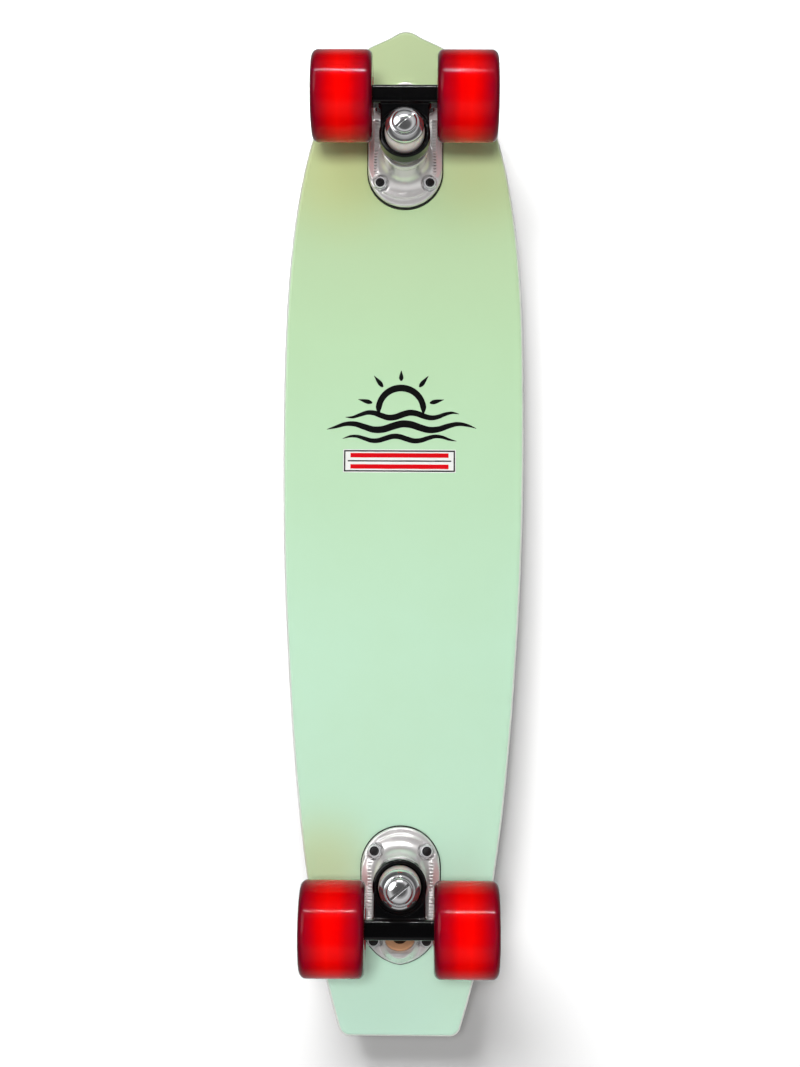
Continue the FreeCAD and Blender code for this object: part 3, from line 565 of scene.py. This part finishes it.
# %% Mix the finishes, one per material slot
finishes = {
    "deck": deck_finish(),
    "grip": grip_finish(),
    "black_bolts": plain_finish("black_oxide_steel", "#0E0E10", "#1B1A1A", 0.38, 0.8, 0.1),
    "zinc_steel": metal_finish("bright_zinc_plate", "#F6F7F9", "#DDDFE2", 0.5, 0.17, 0.07, 0.3,
                               2.0, 0.05, corner_shade_mm=1.2),
    "nylon": plain_finish("black_nylon_insert", "#141416", "#1D1D20", 0.5, 0.6, 0.1),
    "riser": plain_finish("black_rubber_pad", "#0C0C0D", "#161617", 0.7, 0.9, 0.35),
    "cast_aluminium": metal_finish("polished_cast_aluminium", "#FAF8F7", "#ECEAE9", 0.62, 0.24,
                                   0.02, 0.5, 6.0, 0.015, corner_shade_mm=1.6),
    "pivot_rubber": plain_finish("tan_pivot_rubber", "#B98A66", "#C99B78", 0.5, 0.8, 0.15),
    "chrome": metal_finish("bright_chrome", "#F4F4F5", "#E0E0E2", 0.95, 0.08, 0.03, 0.3, 5.0,
                           0.05),
    "cushion": plain_finish("cream_urethane", "#FBF1EC", "#F3E3DD", 0.26, 1.5, 0.06,
                            Subsurface_Weight=0.25, Subsurface_Scale=2 * MM, Coat_Weight=0.3,
                            Coat_Roughness=0.08),
    "black_enamel": enamel_finish(),
    "urethane": urethane_finish(),
    "bearing_shield": metal_finish("pressed_steel_shield", "#B9BABD", "#9A9B9F", 0.9, 0.28, 0.06,
                                   0.25, 1.5, 0.06),
    "bearing_steel": metal_finish("ground_bearing_steel", "#D2D3D6", "#B4B6BA", 0.95, 0.16, 0.04,
                                  0.25, 2.0, 0.03),
}
deck_ink = plain_finish("black_deck_ink", "#050505", "#0B0A0B", 0.32, 0.7, 0.08,
                        Specular_IOR_Level=0.15)
label_white = plain_finish("white_label_film", "#F6F6F4", "#EDEDEA", 0.28, 1.0, 0.04,
                           Coat_Weight=0.4)
label_red = plain_finish("red_label_ink", "#E00414", "#D40312", 0.3, 1.0, 0.04,
                         Specular_IOR_Level=0.15)


def dress(obj, slot_name, material=None):
    """Give obj one material, the finish of its slot."""
    obj.data.materials.clear()
    obj.data.materials.append(material or finishes[slot_name])
    return obj


print("finishes:", len(finishes) + 3)

# %% [markdown]
# ## The nodes that keep their CAD mesh
# The deck, the grip, the axles, spacers and bearings have the right shape already.  They only get
# their finish, in the slot that the frame gives them.

# %% Dress the CAD nodes
slot_of = {part["node"]: part["material_slot"] for part in frame["record"]["subparts"]}


def stands_for(piece, node_name, body):
    """Dress a piece that takes a CAD node's place, and say which body carries it."""
    dress(piece, slot_of[node_name])
    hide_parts(node_name)
    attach(piece, body)


for node_name, node in frame["nodes"].items():
    for material_slot in node.material_slots:
        material_slot.material = finishes[slot_of[node_name]]
print("dressed", len(frame["nodes"]), "CAD nodes")

# %% [markdown]
# ## Castings
# The baseplates and hangers are poured in moulds, so every inside corner is a soft fillet.
# Beveling a hundred curved edges by hand is slow and breaks where they meet.  Instead the CAD mesh
# is copied, its triangles are merged, and a voxel remesh gives an even skin that can be relaxed:
# smoothing rounds corners much as a worn pattern and a polishing wheel do.  A vertex group leaves
# the rows of small ribs beside the bolts out of that.  Each rib then gets a bevelled bar of its
# own, joined to the casting, because the skin alone is too coarse to give a rib this small an edge.

# %% Copy a casting and relax its skin
def casting(node_name, name, voxel, rounds, crisp=None):
    """A remeshed and smoothed copy of a CAD node.  crisp(point in mm) keeps a place sharp."""
    obj = bpy.data.objects.new(name, frame["nodes"][node_name].data.copy())
    bpy.context.scene.collection.objects.link(obj)
    merge_doubles(obj, turn_outwards=False)
    apply_modifier(obj, "REMESH", mode="VOXEL", voxel_size=voxel * MM)
    group = obj.vertex_groups.new(name="relaxed")
    loose = []
    for vertex in obj.data.vertices:
        if crisp is None or not crisp(vertex.co / MM):
            loose.append(vertex.index)
    group.add(loose, 1.0, "REPLACE")
    apply_modifier(obj, "SMOOTH", factor=0.5, iterations=rounds, vertex_group="relaxed")
    obj.vertex_groups.clear()
    only(obj)
    bpy.ops.object.shade_smooth()
    print(name, len(obj.data.polygons), "faces")
    return obj


# %% The rows of ribs on the baseplate
rib_out = 22.1                  # middle of a row, from the middle of the truck
first_rib, rib_pitch, rib_count = 22.6, 2.4, 20


def beside_bolts(point):
    """Where the rows of small ribs stand on the rear baseplate."""
    surface = base_underside - base_flange
    from_inner = point.y - inner_end["rear"]
    in_row = 19.0 < abs(point.x) < 25.5 and 24 < from_inner < 74
    return in_row and surface - 1.2 < point.z < surface + 0.5


def rib_rows(plate):
    """Both rows of ribs, each a small bevelled bar, stood on the rear baseplate's own skin."""
    bars = []
    sunk = Vector((0, 0, 0.2 * MM))
    bar = soften(settle(block((3.8, 1.15, 2.1))), 0.28, 2, 30)
    for i in range(rib_count):
        for x in (-rib_out, rib_out):
            foot = truck_place["rear"] @ Vector((x * MM, (first_rib + rib_pitch * i) * MM, 0))
            skin = plate.ray_cast((foot.x, foot.y, 0), (0, 0, 1))[1]
            bars.append(twin(bar, "bar", Matrix.Translation(skin + sunk)))
    discard(bar)
    return bars


# %% Make the rear castings and copy them to the front
half_turn = truck_place["front"] @ truck_place["rear"].inverted()
for part, voxel, rounds, crisp in (("baseplate", 0.5, 10, beside_bolts), ("hanger", 0.6, 6, None)):
    rear_piece = casting("rear_" + part, "rear_" + part + "_casting", voxel, rounds, crisp)
    if part == "baseplate":
        rear_piece = joined(rear_piece.name, [rear_piece] + rib_rows(rear_piece))
    front_piece = twin(rear_piece, "front_" + part + "_casting", half_turn)
    for end, piece in (("rear", rear_piece), ("front", front_piece)):
        body = "board" if part == "baseplate" else end + "_hanger"
        stands_for(piece, end + "_" + part, body)

# %% [markdown]
# ## Kingpin stack
# Each kingpin is a bolt with a domed chrome head and one wide slot.  The head sits in a cup washer
# that holds a barrel of pale urethane, and a flatter cushion lies on the other side of the hanger's
# ring.  All are turned, then their edges are rounded, because polished and moulded edges shine.

# %% Levels along the kingpin
kingpin_radius = 4.76
bore = 4.91                     # radius of the hole in all that the kingpin passes through
washer_low, washer_high = 34.5, 35.7
ring_low, ring_high = 45.5, 52.5        # the hanger's ring, between the two cushions
cup_level, head_level = 69.3, 73.3
head_height = 6.0


def ring_of(name, profile, angle, sides=96):
    """A washer or cushion: turned from a profile that closes on itself."""
    return smooth(turned(name, profile + profile[:1], sides), angle)


# %% Turn the kingpin head and cut its slot
def kingpin_piece():
    """The bolt, with a slotted head: a short rim, a step, and a dome over it."""
    rim, dome_radius, dome_height = 10.1, 9.3, 3.7
    dome = arc(0, 0, 1, 0, 90, 14)
    dome = [(dome_radius * out, head_level + head_height - dome_height + dome_height * up)
            for out, up in dome[:-1]] + [(0, head_level + head_height)]
    steps = [(0, 1.3), (4.2, 1.3), (kingpin_radius, 1.9), (kingpin_radius, head_level),
             (rim - 0.3, head_level), (rim, head_level + 0.3), (rim, head_level + 1.7)]
    steps += arc(rim - 0.3, head_level + 1.7, 0.3, 30, 90, 2)
    steps += [(dome_radius + 0.15, head_level + 2.05)] + dome
    obj = turned("kingpin_bolt", steps)
    cut(obj, block((17.0, 2.0, 4.2), (0, 0, head_level + head_height), turn=40))
    soften(obj, 0.22, 2, 35)
    return smooth(obj, 38)


def cup_washer_piece():
    """A cup with a short lip over the cushion, and a wall that narrows up to the head."""
    level, wall_foot = cup_level, 14.05
    profile = [(bore, level), (13.4, level), (13.4, level - 1.2), (13.55, level - 1.3),
               (14.0, level - 1.3), (14.1, level - 1.15), (wall_foot, level + 0.1)]
    for i in range(1, 7):
        part = i / 7
        profile.append((wall_foot - 3.35 * part ** 1.35, level + 0.1 + 4.9 * part ** 0.85))
    profile += [(10.7, level + 5.1), (10.45, level + 5.2), (10.2, level + 5.1),
                (10.2, head_level), (bore, head_level)]
    return ring_of("cup_washer", profile, 40)


# %% [markdown]
# A urethane cushion is cast as a barrel.  Its edges are small rounds and its side swells a little,
# more so near the ring, where the load is.  Its own profile is steps on a smooth curve, so the
# highlight runs down it without a break.

# %% Turn the cushions and washers
def upper_cushion_piece():
    """The barrel under the cup, fullest near the ring."""
    low, high, side, edge = ring_high, cup_level, 14.5, 0.5
    profile = [(bore, low), (side - edge, low)] + arc(side - edge, low + edge, edge, -90, 0, 3)
    for i in range(1, 10):
        part = i / 10
        out = side + 0.55 * math.sin(math.pi * part) - 2.3 * part ** 2.2
        profile.append((out, low + edge + 15.6 * part))
    profile += arc(11.9, high - 0.6, 0.6, 10, 90, 3) + [(bore, high)]
    return ring_of("upper_cushion", profile, 50)


def lower_cushion_piece():
    """The flatter cushion between the ring and the seat."""
    low, high, edge = washer_high, ring_low, 0.5
    middle = (low + high) / 2
    profile = [(bore, low), (11.9, low)] + arc(11.9, low + edge, edge, -90, -20, 3)
    profile += [(12.55, low + 2), (12.6, middle), (12.55, high - 2)]
    profile += arc(11.9, high - edge, edge, 20, 90, 3) + [(bore, high)]
    return ring_of("lower_cushion", profile, 50)


def lower_washer_piece():
    """A flat washer with broken outer edges."""
    low, high, outer, edge = washer_low, washer_high, 12.8, 0.3
    profile = [(bore, low), (outer - edge, low), (outer, low + edge), (outer, high - edge),
               (outer - edge, high), (bore, high)]
    return ring_of("lower_washer", profile, 30)


def pivot_cup_piece():
    """A rubber plug with a rolled rim; the hanger's round nose sits in its hole."""
    hole_radius = 5.08
    profile = [(hole_radius, -1.8), (9.6, -1.8)] + arc(9.6, -1.0, 0.8, -90, 0, 4)
    profile += [(10.4, -0.3), (10.1, 0.0), (7.5, 0.0), (7.5, 8.6), (7.1, 9.0), (0, 9.0)]
    hole = arc(0, 3.0, hole_radius, 0, 90, 8)
    hole[-1] = (0, hole_radius + 3.0)
    return smooth(turned("pivot_cup", profile[::-1] + hole), 40)


def nut_piece(flats, low, high, hole, chamfer):
    """A hexagon nut: a six-sided cylinder, bored, its corners cut by a cone, and deburred."""
    clear_selection()
    corner = flats / math.sqrt(3)
    bpy.ops.mesh.primitive_cylinder_add(vertices=6, radius=corner * MM, depth=(high - low) * MM,
                                        location=(0, 0, (high + low) / 2 * MM))
    obj = settle(bpy.context.object)
    cut(obj, turned("drill", [(0, low - 1), (hole, low - 1), (hole, high + 1), (0, high + 1)], 48))
    rim, slope = flats / 2 - 0.2, 1.7
    foot = high - chamfer - 2   # the cone starts well below the corners that it cuts
    cone = [(0, low - 1), (corner + 2, low - 1), (corner + 2, foot),
            (rim + (high - foot) * slope, foot), (rim, high), (rim - 1.0, high + 0.6),
            (0, high + 0.6)]
    cut(obj, turned("cone", cone), "INTERSECT")
    soften(obj, 0.12, 2, 25)
    return smooth(obj, 30)


# %% Put both stacks and pivot cups in place
stack = {
    "kingpin": kingpin_piece(),
    "cup_washer": cup_washer_piece(),
    "upper_cushion": upper_cushion_piece(),
    "lower_cushion": lower_cushion_piece(),
    "lower_washer": lower_washer_piece(),
    "kingpin_nut": nut_piece(14.3, 1.0, 9.0, kingpin_radius, 0.8),
}
for part, piece in stack.items():
    for end in ("front", "rear"):
        copy = twin(piece, end + "_" + part + "_turned", truck_place[end] @ on_kingpin)
        stands_for(copy, end + "_" + part, "board")
pivot_cup = pivot_cup_piece()
for end in ("front", "rear"):
    copy = twin(pivot_cup, end + "_pivot_cup_moulded", truck_place[end] @ on_pivot)
    stands_for(copy, end + "_pivot_cup", "board")
discard(pivot_cup, *stack.values())
print("kingpin stacks done")

# %% [markdown]
# ## Wheels
# A poured wheel has a flat tread, round lips, and a recess on each side that leads to the bearing.
# It is turned once from its cross-section and copied four times.  The lips are real rounds, because
# the dark line where they turn away is what shows that the wheel is thick and clear.

# %% Turn one wheel
def wheel_piece():
    """From its inner face at 0 to its outer face, round two bearing seats and back."""
    width, lip, r = wheel_width, 5.0, wheel_radius
    profile = [(11.0, 7.0), (13.0, 7.0), (13.3, 6.6), (13.9, 0.8), (14.3, 0.25), (15.0, 0.0),
               (r - lip, 0.0)]
    profile += arc(r - lip, lip, lip, -78, 0, 7)
    profile += [(r, lip + (width - 2 * lip) * i / 6) for i in range(1, 6)]
    profile += arc(r - lip, width - lip, lip, 0, 78, 7)
    profile += [(r - lip, width), (21.6, width), (20.6, width - 0.25), (20.0, width - 0.9),
                (18.6, width - 4.0), (17.9, width - 4.6), (13.7, 32.2), (13.2, 31.5), (12.8, 31.4),
                (11.0, 31.4), (11.0, 24.4), (9.2, 24.4), (9.2, 14.0), (11.0, 14.0)]
    return ring_of("wheel", profile, 30, 144)


def nylon_ring_piece():
    """The black nylon ring at the end of an axle nut."""
    hole, outer, low, high = 3.98, 5.2, 38.3, 38.95
    profile = [(hole, low), (outer, low), (outer, 38.7), (4.9, high), (4.2, high), (hole, 38.75)]
    return ring_of("nylon_ring", profile, 40, 64)


# %% [markdown]
# Each wheel, nut and ring is made at the origin with its inner face down, so one matrix turns it
# onto the axle.  The rear truck is the front one turned half round, which swaps left and right.

# %% Put the wheels and axle nuts in place
axle_radius = 3.97
wheel = wheel_piece()
axle_nut = nut_piece(12.7, 32.4, 38.4, axle_radius, 0.9)
nylon_ring = nylon_ring_piece()
for end in ("front", "rear"):
    for side in ("left", "right"):
        same_side = (side == "left") == (end == "front")
        outwards = Matrix.Rotation(math.pi / 2 if same_side else 3 * math.pi / 2, 4, "Y")
        axle = truck_place[end] @ shift(0, axle_from_inner, axle_level)
        place = axle @ outwards @ shift(0, 0, wheel_inner_face)
        corner = end + "_" + side
        tyre = twin(wheel, corner + "_wheel_poured", place)
        stands_for(tyre, corner + "_wheel", corner + "_wheel")
        nut = twin(axle_nut, corner + "_axle_nut_steel", place)
        stands_for(nut, corner + "_axle_nut", end + "_hanger")
        ring = twin(nylon_ring, corner + "_axle_nut_ring", place)
        dress(ring, "nylon")
        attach(ring, end + "_hanger")
discard(wheel, axle_nut, nylon_ring)
print("wheels done")

# %% [markdown]
# ## Deck nuts
# Eight small locking nuts hold the trucks.  Each has a hexagon body and a round collar crimped over
# a black insert.  One is made, copied eight times and joined, because the frame keeps them as one
# node.

# %% Make one locking nut and copy it
bolt_radius, insert_radius = 2.4, 3.4
nut_top = base_flange + 5.3


def deck_nut_piece():
    """A hexagon body that stands on the baseplate, and the collar that holds the insert."""
    body = nut_piece(9.5, base_flange, 8.1, bolt_radius, 0.5)
    inner, outer = insert_radius, 4.4
    collar = [(inner, 7.9), (outer, 7.9), (outer, 9.1), (4.15, 9.6), (3.9, nut_top),
              (3.6, nut_top), (inner, 9.6)]
    return joined("deck_nut", [body, ring_of("collar", collar, 40, 48)])


def deck_insert_piece():
    """The black ring inside the collar."""
    inner, outer = bolt_radius, insert_radius
    ring = [(inner, 8.3), (outer, 8.3), (outer, 9.3), (3.1, 9.6), (2.6, 9.6), (inner, 9.4)]
    return ring_of("deck_insert", ring, 40, 48)


models = {"deck_nuts": deck_nut_piece(), "deck_nut_inserts": deck_insert_piece()}
for node_name, model in models.items():
    copies = []
    for end in ("front", "rear"):
        for x, y in bolt_places:
            copies.append(twin(model, "copy", truck_place[end] @ shift(x, y, 0)))
    whole = joined(node_name + "_finished", copies)
    stands_for(whole, node_name, "board")
    discard(model)
print("deck nuts done")

# %% [markdown]
# ## Deck bolts
# From above, the only hardware is eight flat heads with a cross recess.  The recess is two crossed
# bars cut out of the head; the shank runs down through the deck and just past its nut.

# %% Turn one bolt and cut its cross recess
def bolt_piece():
    """Upright at x = y = 0, with its heights from the floor."""
    top, head_radius = deck_top, 4.6
    bolt_past_nut = 0.8
    end = base_underside - nut_top - bolt_past_nut
    steps = [(0, end), (2.0, end), (bolt_radius, end + 0.5), (bolt_radius, top - 2.7),
             (head_radius, top - 0.25), (head_radius + 0.1, top - 0.1), (head_radius, top),
             (0, top)]
    obj = turned("bolt", steps, 48)
    for turn in (0, 90):
        cut(obj, block((4.6, 1.0, 3.2), (0, 0, top), turn))
    soften(obj, 0.08, 1, 40)
    return smooth(obj, 35)


bolt = bolt_piece()
copies = []
for end in ("front", "rear"):
    for x, y in bolt_places:
        foot = truck_place[end] @ Vector((x * MM, y * MM, 0))
        copies.append(twin(bolt, "copy", Matrix.Translation((foot.x, foot.y, 0))))
bolts = joined("deck_bolts_finished", copies)
stands_for(bolts, "deck_bolts", "board")
discard(bolt)
print("deck bolts done")

# %% [markdown]
# ## Graphics
# The deck carries a brush-drawn motif and a small label below it, both thin films on the paint.
# The motif here is a setting sun over a swell.  Each stroke starts as a long grid that is bent
# along its path and thinned to a point at both ends, then given the thickness of a film.

# %% Brush strokes
def along(t, values):
    """A smooth curve through evenly spaced values (Catmull-Rom), for t from 0 to 1."""
    last = len(values) - 1
    place = min(max(t, 0.0), 0.99999) * last
    i = int(place)
    u = place - i
    a, b = values[max(i - 1, 0)], values[i]
    c, d = values[i + 1], values[min(i + 2, last)]
    return 0.5 * ((2 * b) + (c - a) * u + (2 * a - 5 * b + 4 * c - d) * u * u
                  + (3 * b - a - 3 * c + d) * u ** 3)


def stroke(name, points, widths, steps=90):
    """A tapering ribbon through points (mm), on the deck's underside."""
    film, step, finest = 0.1, 0.004, 0.06
    clear_selection()
    bpy.ops.mesh.primitive_grid_add(x_subdivisions=steps, y_subdivisions=2, size=1)
    obj = bpy.context.object
    obj.name = name
    xs, ys = [p[0] for p in points], [p[1] for p in points]
    for vertex in obj.data.vertices:
        t = vertex.co.x + 0.5
        x, y = along(t, xs), along(t, ys)
        dx = along(t + step, xs) - along(t - step, xs)
        dy = along(t + step, ys) - along(t - step, ys)
        length = max(math.hypot(dx, dy), 1e-6)
        off = vertex.co.y * max(along(t, widths), finest)
        vertex.co = Vector((x - dy / length * off, y + dx / length * off,
                            deck_underside - film / 2)) * MM
    apply_modifier(obj, "SOLIDIFY", thickness=film * MM, offset=0)
    return merge_doubles(obj, turn_outwards=True)


def sun(x, y, radius, width):
    """The upper half of a round brush stroke, open below."""
    points = []
    for i in range(13):
        a = math.radians(-12 + 204 * i / 12)
        points.append((x + radius * math.cos(a), y - radius * math.sin(a)))
    widths = [width * (0.75 + 0.25 * math.sin(math.pi * i / 12)) for i in range(1, 12)]
    return stroke("sun", points, [0.4] + widths + [0.4])


def ray(number, x, y, angle, start, end):
    """A short dash that points away from the sun's middle."""
    a = math.radians(angle)
    stations = (start, (2 * start + end) / 3, end)
    points = [(x + r * math.cos(a), y - r * math.sin(a)) for r in stations]
    return stroke("ray_" + str(number), points, [1.2, 3.4, 0.3], 24)


def swell(number, y, left, right, height, width):
    """A long wavy line, thick in its crests and fine at both ends."""
    points, widths = [], []
    for i in range(17):
        part = i / 16
        wave = math.sin(part * 5.5 * math.pi + number)
        points.append((left + (right - left) * part, y + height * wave))
        widths.append(0.3 + width * math.sin(math.pi * part) ** 0.6)
    return stroke("swell_" + str(number), points, widths)


sun_x, sun_y = -2, -79
strokes = [sun(sun_x, sun_y, 17, 5.2)]
for number, angle in enumerate((14, 52, 90, 128, 166)):
    strokes.append(ray(number, sun_x, sun_y, angle, 22.5, 30.5 if angle == 90 else 33.5))
strokes += [swell(1, -75, -44, 42, 2.0, 4.4), swell(2, -66, -58, 55, 2.4, 5.2),
            swell(3, -57, -46, 40, 1.8, 3.8)]
motif = joined("deck_motif", strokes)
dress(motif, "deck", deck_ink)
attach(motif, "board")


# %% [markdown]
# The label is a white film with a fine black border and two plain red bars.  Each layer is a thin
# plate that stands a hair further out than the one below, as printed layers do.

# %% The label
def plate(name, x, y, wide, long, proud, material):
    """A thin film with slightly rounded corners, centred at x, y on the underside."""
    obj = block((wide, long, 0.05 + proud), (x, y, deck_underside - proud / 2 + 0.02))
    obj.name = name
    settle(obj)
    apply_modifier(obj, "BEVEL", width=0.02 * MM, segments=1)
    dress(obj, "deck", material)
    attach(obj, "board")
    return obj


label_x, label_y = -2.9, -39.8
plate("label_edge", label_x, label_y, 85.0, 17.6, 0.04, label_white)
plate("label_border", label_x, label_y, 83.8, 16.4, 0.07, deck_ink)
plate("label_field", label_x, label_y, 81.6, 14.2, 0.10, label_white)
for row, offset in (("upper", -4.3), ("lower", 4.3)):
    plate("label_bar_" + row, label_x, label_y + offset, 74.0, 3.4, 0.13, label_red)
plate("label_rule", label_x, label_y, 78.0, 1.0, 0.13, deck_ink)
print("graphics done")

# %% [markdown]
# ## Stage
# The board is shown from below, as when it hangs on a wall.  So the floor lets light and the camera
# through from underneath and shows only from above, and a pale backdrop behind the deck shows only
# from below.  Neither throws light on the board: that is left to the lamps and the room.  A real
# sheet of paper would hide the board in one view or the other, so both are clear from behind.

# %% Floor and backdrop
def one_sided(name, colour, glow):
    """Matt paper with a little light of its own, clear when it is looked at from behind."""
    material, tree, shader = finish(name, colour, 0.0, 0.9, Specular_IOR_Level=0.1,
                                    Emission_Color=grey(1.0), Emission_Strength=glow)
    back = add(tree, "ShaderNodeNewGeometry").outputs["Backfacing"]
    clear = add(tree, "ShaderNodeBsdfTransparent")
    mix = add(tree, "ShaderNodeMixShader", None,
              {0: back, 1: shader.outputs[0], 2: clear.outputs[0]})
    tree.links.new(mix.outputs[0], tree.nodes["Material Output"].inputs["Surface"])
    return material


def stage_plane(name, height, turn, wide, long, colour, glow):
    """A sheet that is lit but lights nothing: no shadow, no glow and no mirror image of it."""
    clear_selection()
    bpy.ops.mesh.primitive_plane_add(size=1, location=(0, 0, height), rotation=(turn, 0, 0))
    obj = bpy.context.object
    obj.name = name
    obj.scale = (wide, long, 1)
    obj.data.materials.append(one_sided(name + "_paper", colour, glow))
    for ray_kind in ("shadow", "diffuse", "glossy", "transmission"):
        setattr(obj, "visible_" + ray_kind, False)
    return obj


stage_plane("floor", 0.0, 0.0, 60, 60, "#A8A8A8", 0.55)
backdrop = stage_plane("backdrop", 0.128, math.pi, 0.9, 1.1, "#989898", 0.07)


# %% [markdown]
# ## Lamps and room
# The lamps below are soft and weak, and only the far tube shows in gloss: a thin bright line across
# each wheel's tread.  The board's shadow is another matter, because it has to fall far past the
# tail.  A lamp low beyond the nose would do that but would flatten the light on the trucks, so
# light linking lets it reach the backdrop only, while the board still blocks it.  Two lamps above
# are for the top.  The room is dim and even for matt surfaces, and banded from dark to pale for
# mirrors, so that a chrome dome shows a pale floor, a dark horizon and one window.

# %% Lamps
def lamp(name, place, aim, wide, long, watts, glossy=True):
    """A soft rectangular lamp that the camera doesn't see, nor a mirror if glossy is off."""
    data = bpy.data.lights.new(name, "AREA")
    data.shape = "RECTANGLE"
    data.size, data.size_y = wide, long
    data.energy = watts
    obj = bpy.data.objects.new(name, data)
    bpy.context.scene.collection.objects.link(obj)
    obj.location = place
    obj.rotation_euler = (Vector(aim) - Vector(place)).to_track_quat("-Z", "Y").to_euler()
    obj.visible_camera = False
    obj.visible_glossy = glossy
    return obj


deck_middle, board_middle = (0, 0, 0.09), (0, 0, 0.05)
lamp("key_below", (-0.15, 0.0, -2.3), deck_middle, 0.5, 0.5, 40, glossy=False)
lamp("side_below", (-0.9, -1.3, -1.8), deck_middle, 0.8, 0.8, 6, glossy=False)
lamp("fill_below", (0.6, 1.0, -2.4), deck_middle, 1.6, 1.6, 12, glossy=False)
lamp("far_tube", (0.0, -4.3, -4.1), (0, 0, 0.0), 3.2, 0.045, 150).visible_diffuse = False
paper = bpy.data.collections.new("backdrop_only")
paper.objects.link(backdrop)
paper_lamp = lamp("paper_lamp", (-0.62, -1.9, -1.8), (0, 0, 0.12), 2.0, 2.0, 375, glossy=False)
paper_lamp.light_linking.receiver_collection = paper
lamp("key_above", (-0.6, -0.7, 2.5), board_middle, 1.4, 1.4, 44, glossy=False)
lamp("fill_above", (0.9, 0.7, 2.3), board_middle, 2.0, 2.0, 22, glossy=False)

# %% Room
world = bpy.data.worlds.new("room")
bpy.context.scene.world = world
world.use_nodes = True
sky = world.node_tree
sight = add(sky, "ShaderNodeTexCoord").outputs["Generated"]
sight_axes = add(sky, "ShaderNodeSeparateXYZ", None, {0: sight})
upwards = add(sky, "ShaderNodeMapRange", None,
              {"Value": sight_axes.outputs["Z"], "From Min": -1.0, "From Max": 1.0})
room = add(sky, "ShaderNodeValToRGB", None, {0: upwards.outputs[0]})
stops(room, [(0.0, grey(0.05)), (0.05, grey(0.08)), (0.13, grey(0.6)), (0.27, grey(0.42)),
             (0.42, grey(0.06)), (0.56, grey(0.1)), (0.7, grey(0.5)), (1.0, grey(0.6))])
# one window, so that the chrome has something to mirror
window = add(sky, "ShaderNodeVectorMath", {"operation": "DOT_PRODUCT"},
             {0: sight, 1: (-0.62, -0.3, -0.725)})
glow = add(sky, "ShaderNodeMapRange", {"interpolation_type": "SMOOTHSTEP"},
           {"Value": window.outputs["Value"], "From Min": 0.9, "From Max": 0.95, "To Max": 2.6})
lit = add(sky, "ShaderNodeMix", {"data_type": "RGBA", "blend_type": "ADD"},
          {"Factor": 1.0, "A": room.outputs[0], "B": glow.outputs[0]})
mirrored = add(sky, "ShaderNodeBackground", None,
               {"Color": lit.outputs["Result"], "Strength": 1.0})
even = add(sky, "ShaderNodeBackground", None, {"Color": grey(1.0), "Strength": 0.16})
seen = sky.nodes["Background"]
seen.inputs["Color"].default_value = grey(0.62)
path = add(sky, "ShaderNodeLightPath")
unseen = add(sky, "ShaderNodeMixShader", None,
             {0: path.outputs["Is Glossy Ray"], 1: even.outputs[0], 2: mirrored.outputs[0]})
both = add(sky, "ShaderNodeMixShader", None,
           {0: path.outputs["Is Camera Ray"], 1: unseen.outputs[0], 2: seen.outputs[0]})
sky.links.new(both.outputs[0], sky.nodes["World Output"].inputs["Surface"])
bpy.context.scene.view_settings.view_transform = "Standard"
print("stage set")

# %% [markdown]
# ## Camera
# The camera looks at the underside from a little more than a metre away, nearly square to the
# deck.  It leans a few degrees towards the nose, so the near truck looks larger than the far one.

# %% Camera
lens = bpy.data.cameras.new("camera")
camera = bpy.data.objects.new("camera", lens)
bpy.context.scene.collection.objects.link(camera)
camera.location = (0.01168, 0.16852, -1.0995)
tilt = (-172.66, -0.6137, -0.3942)
camera.rotation_euler = Euler([math.radians(a) for a in tilt])
lens.sensor_fit = "AUTO"
lens.sensor_width = 36.0
lens.lens = 53.98
bpy.context.scene.camera = camera
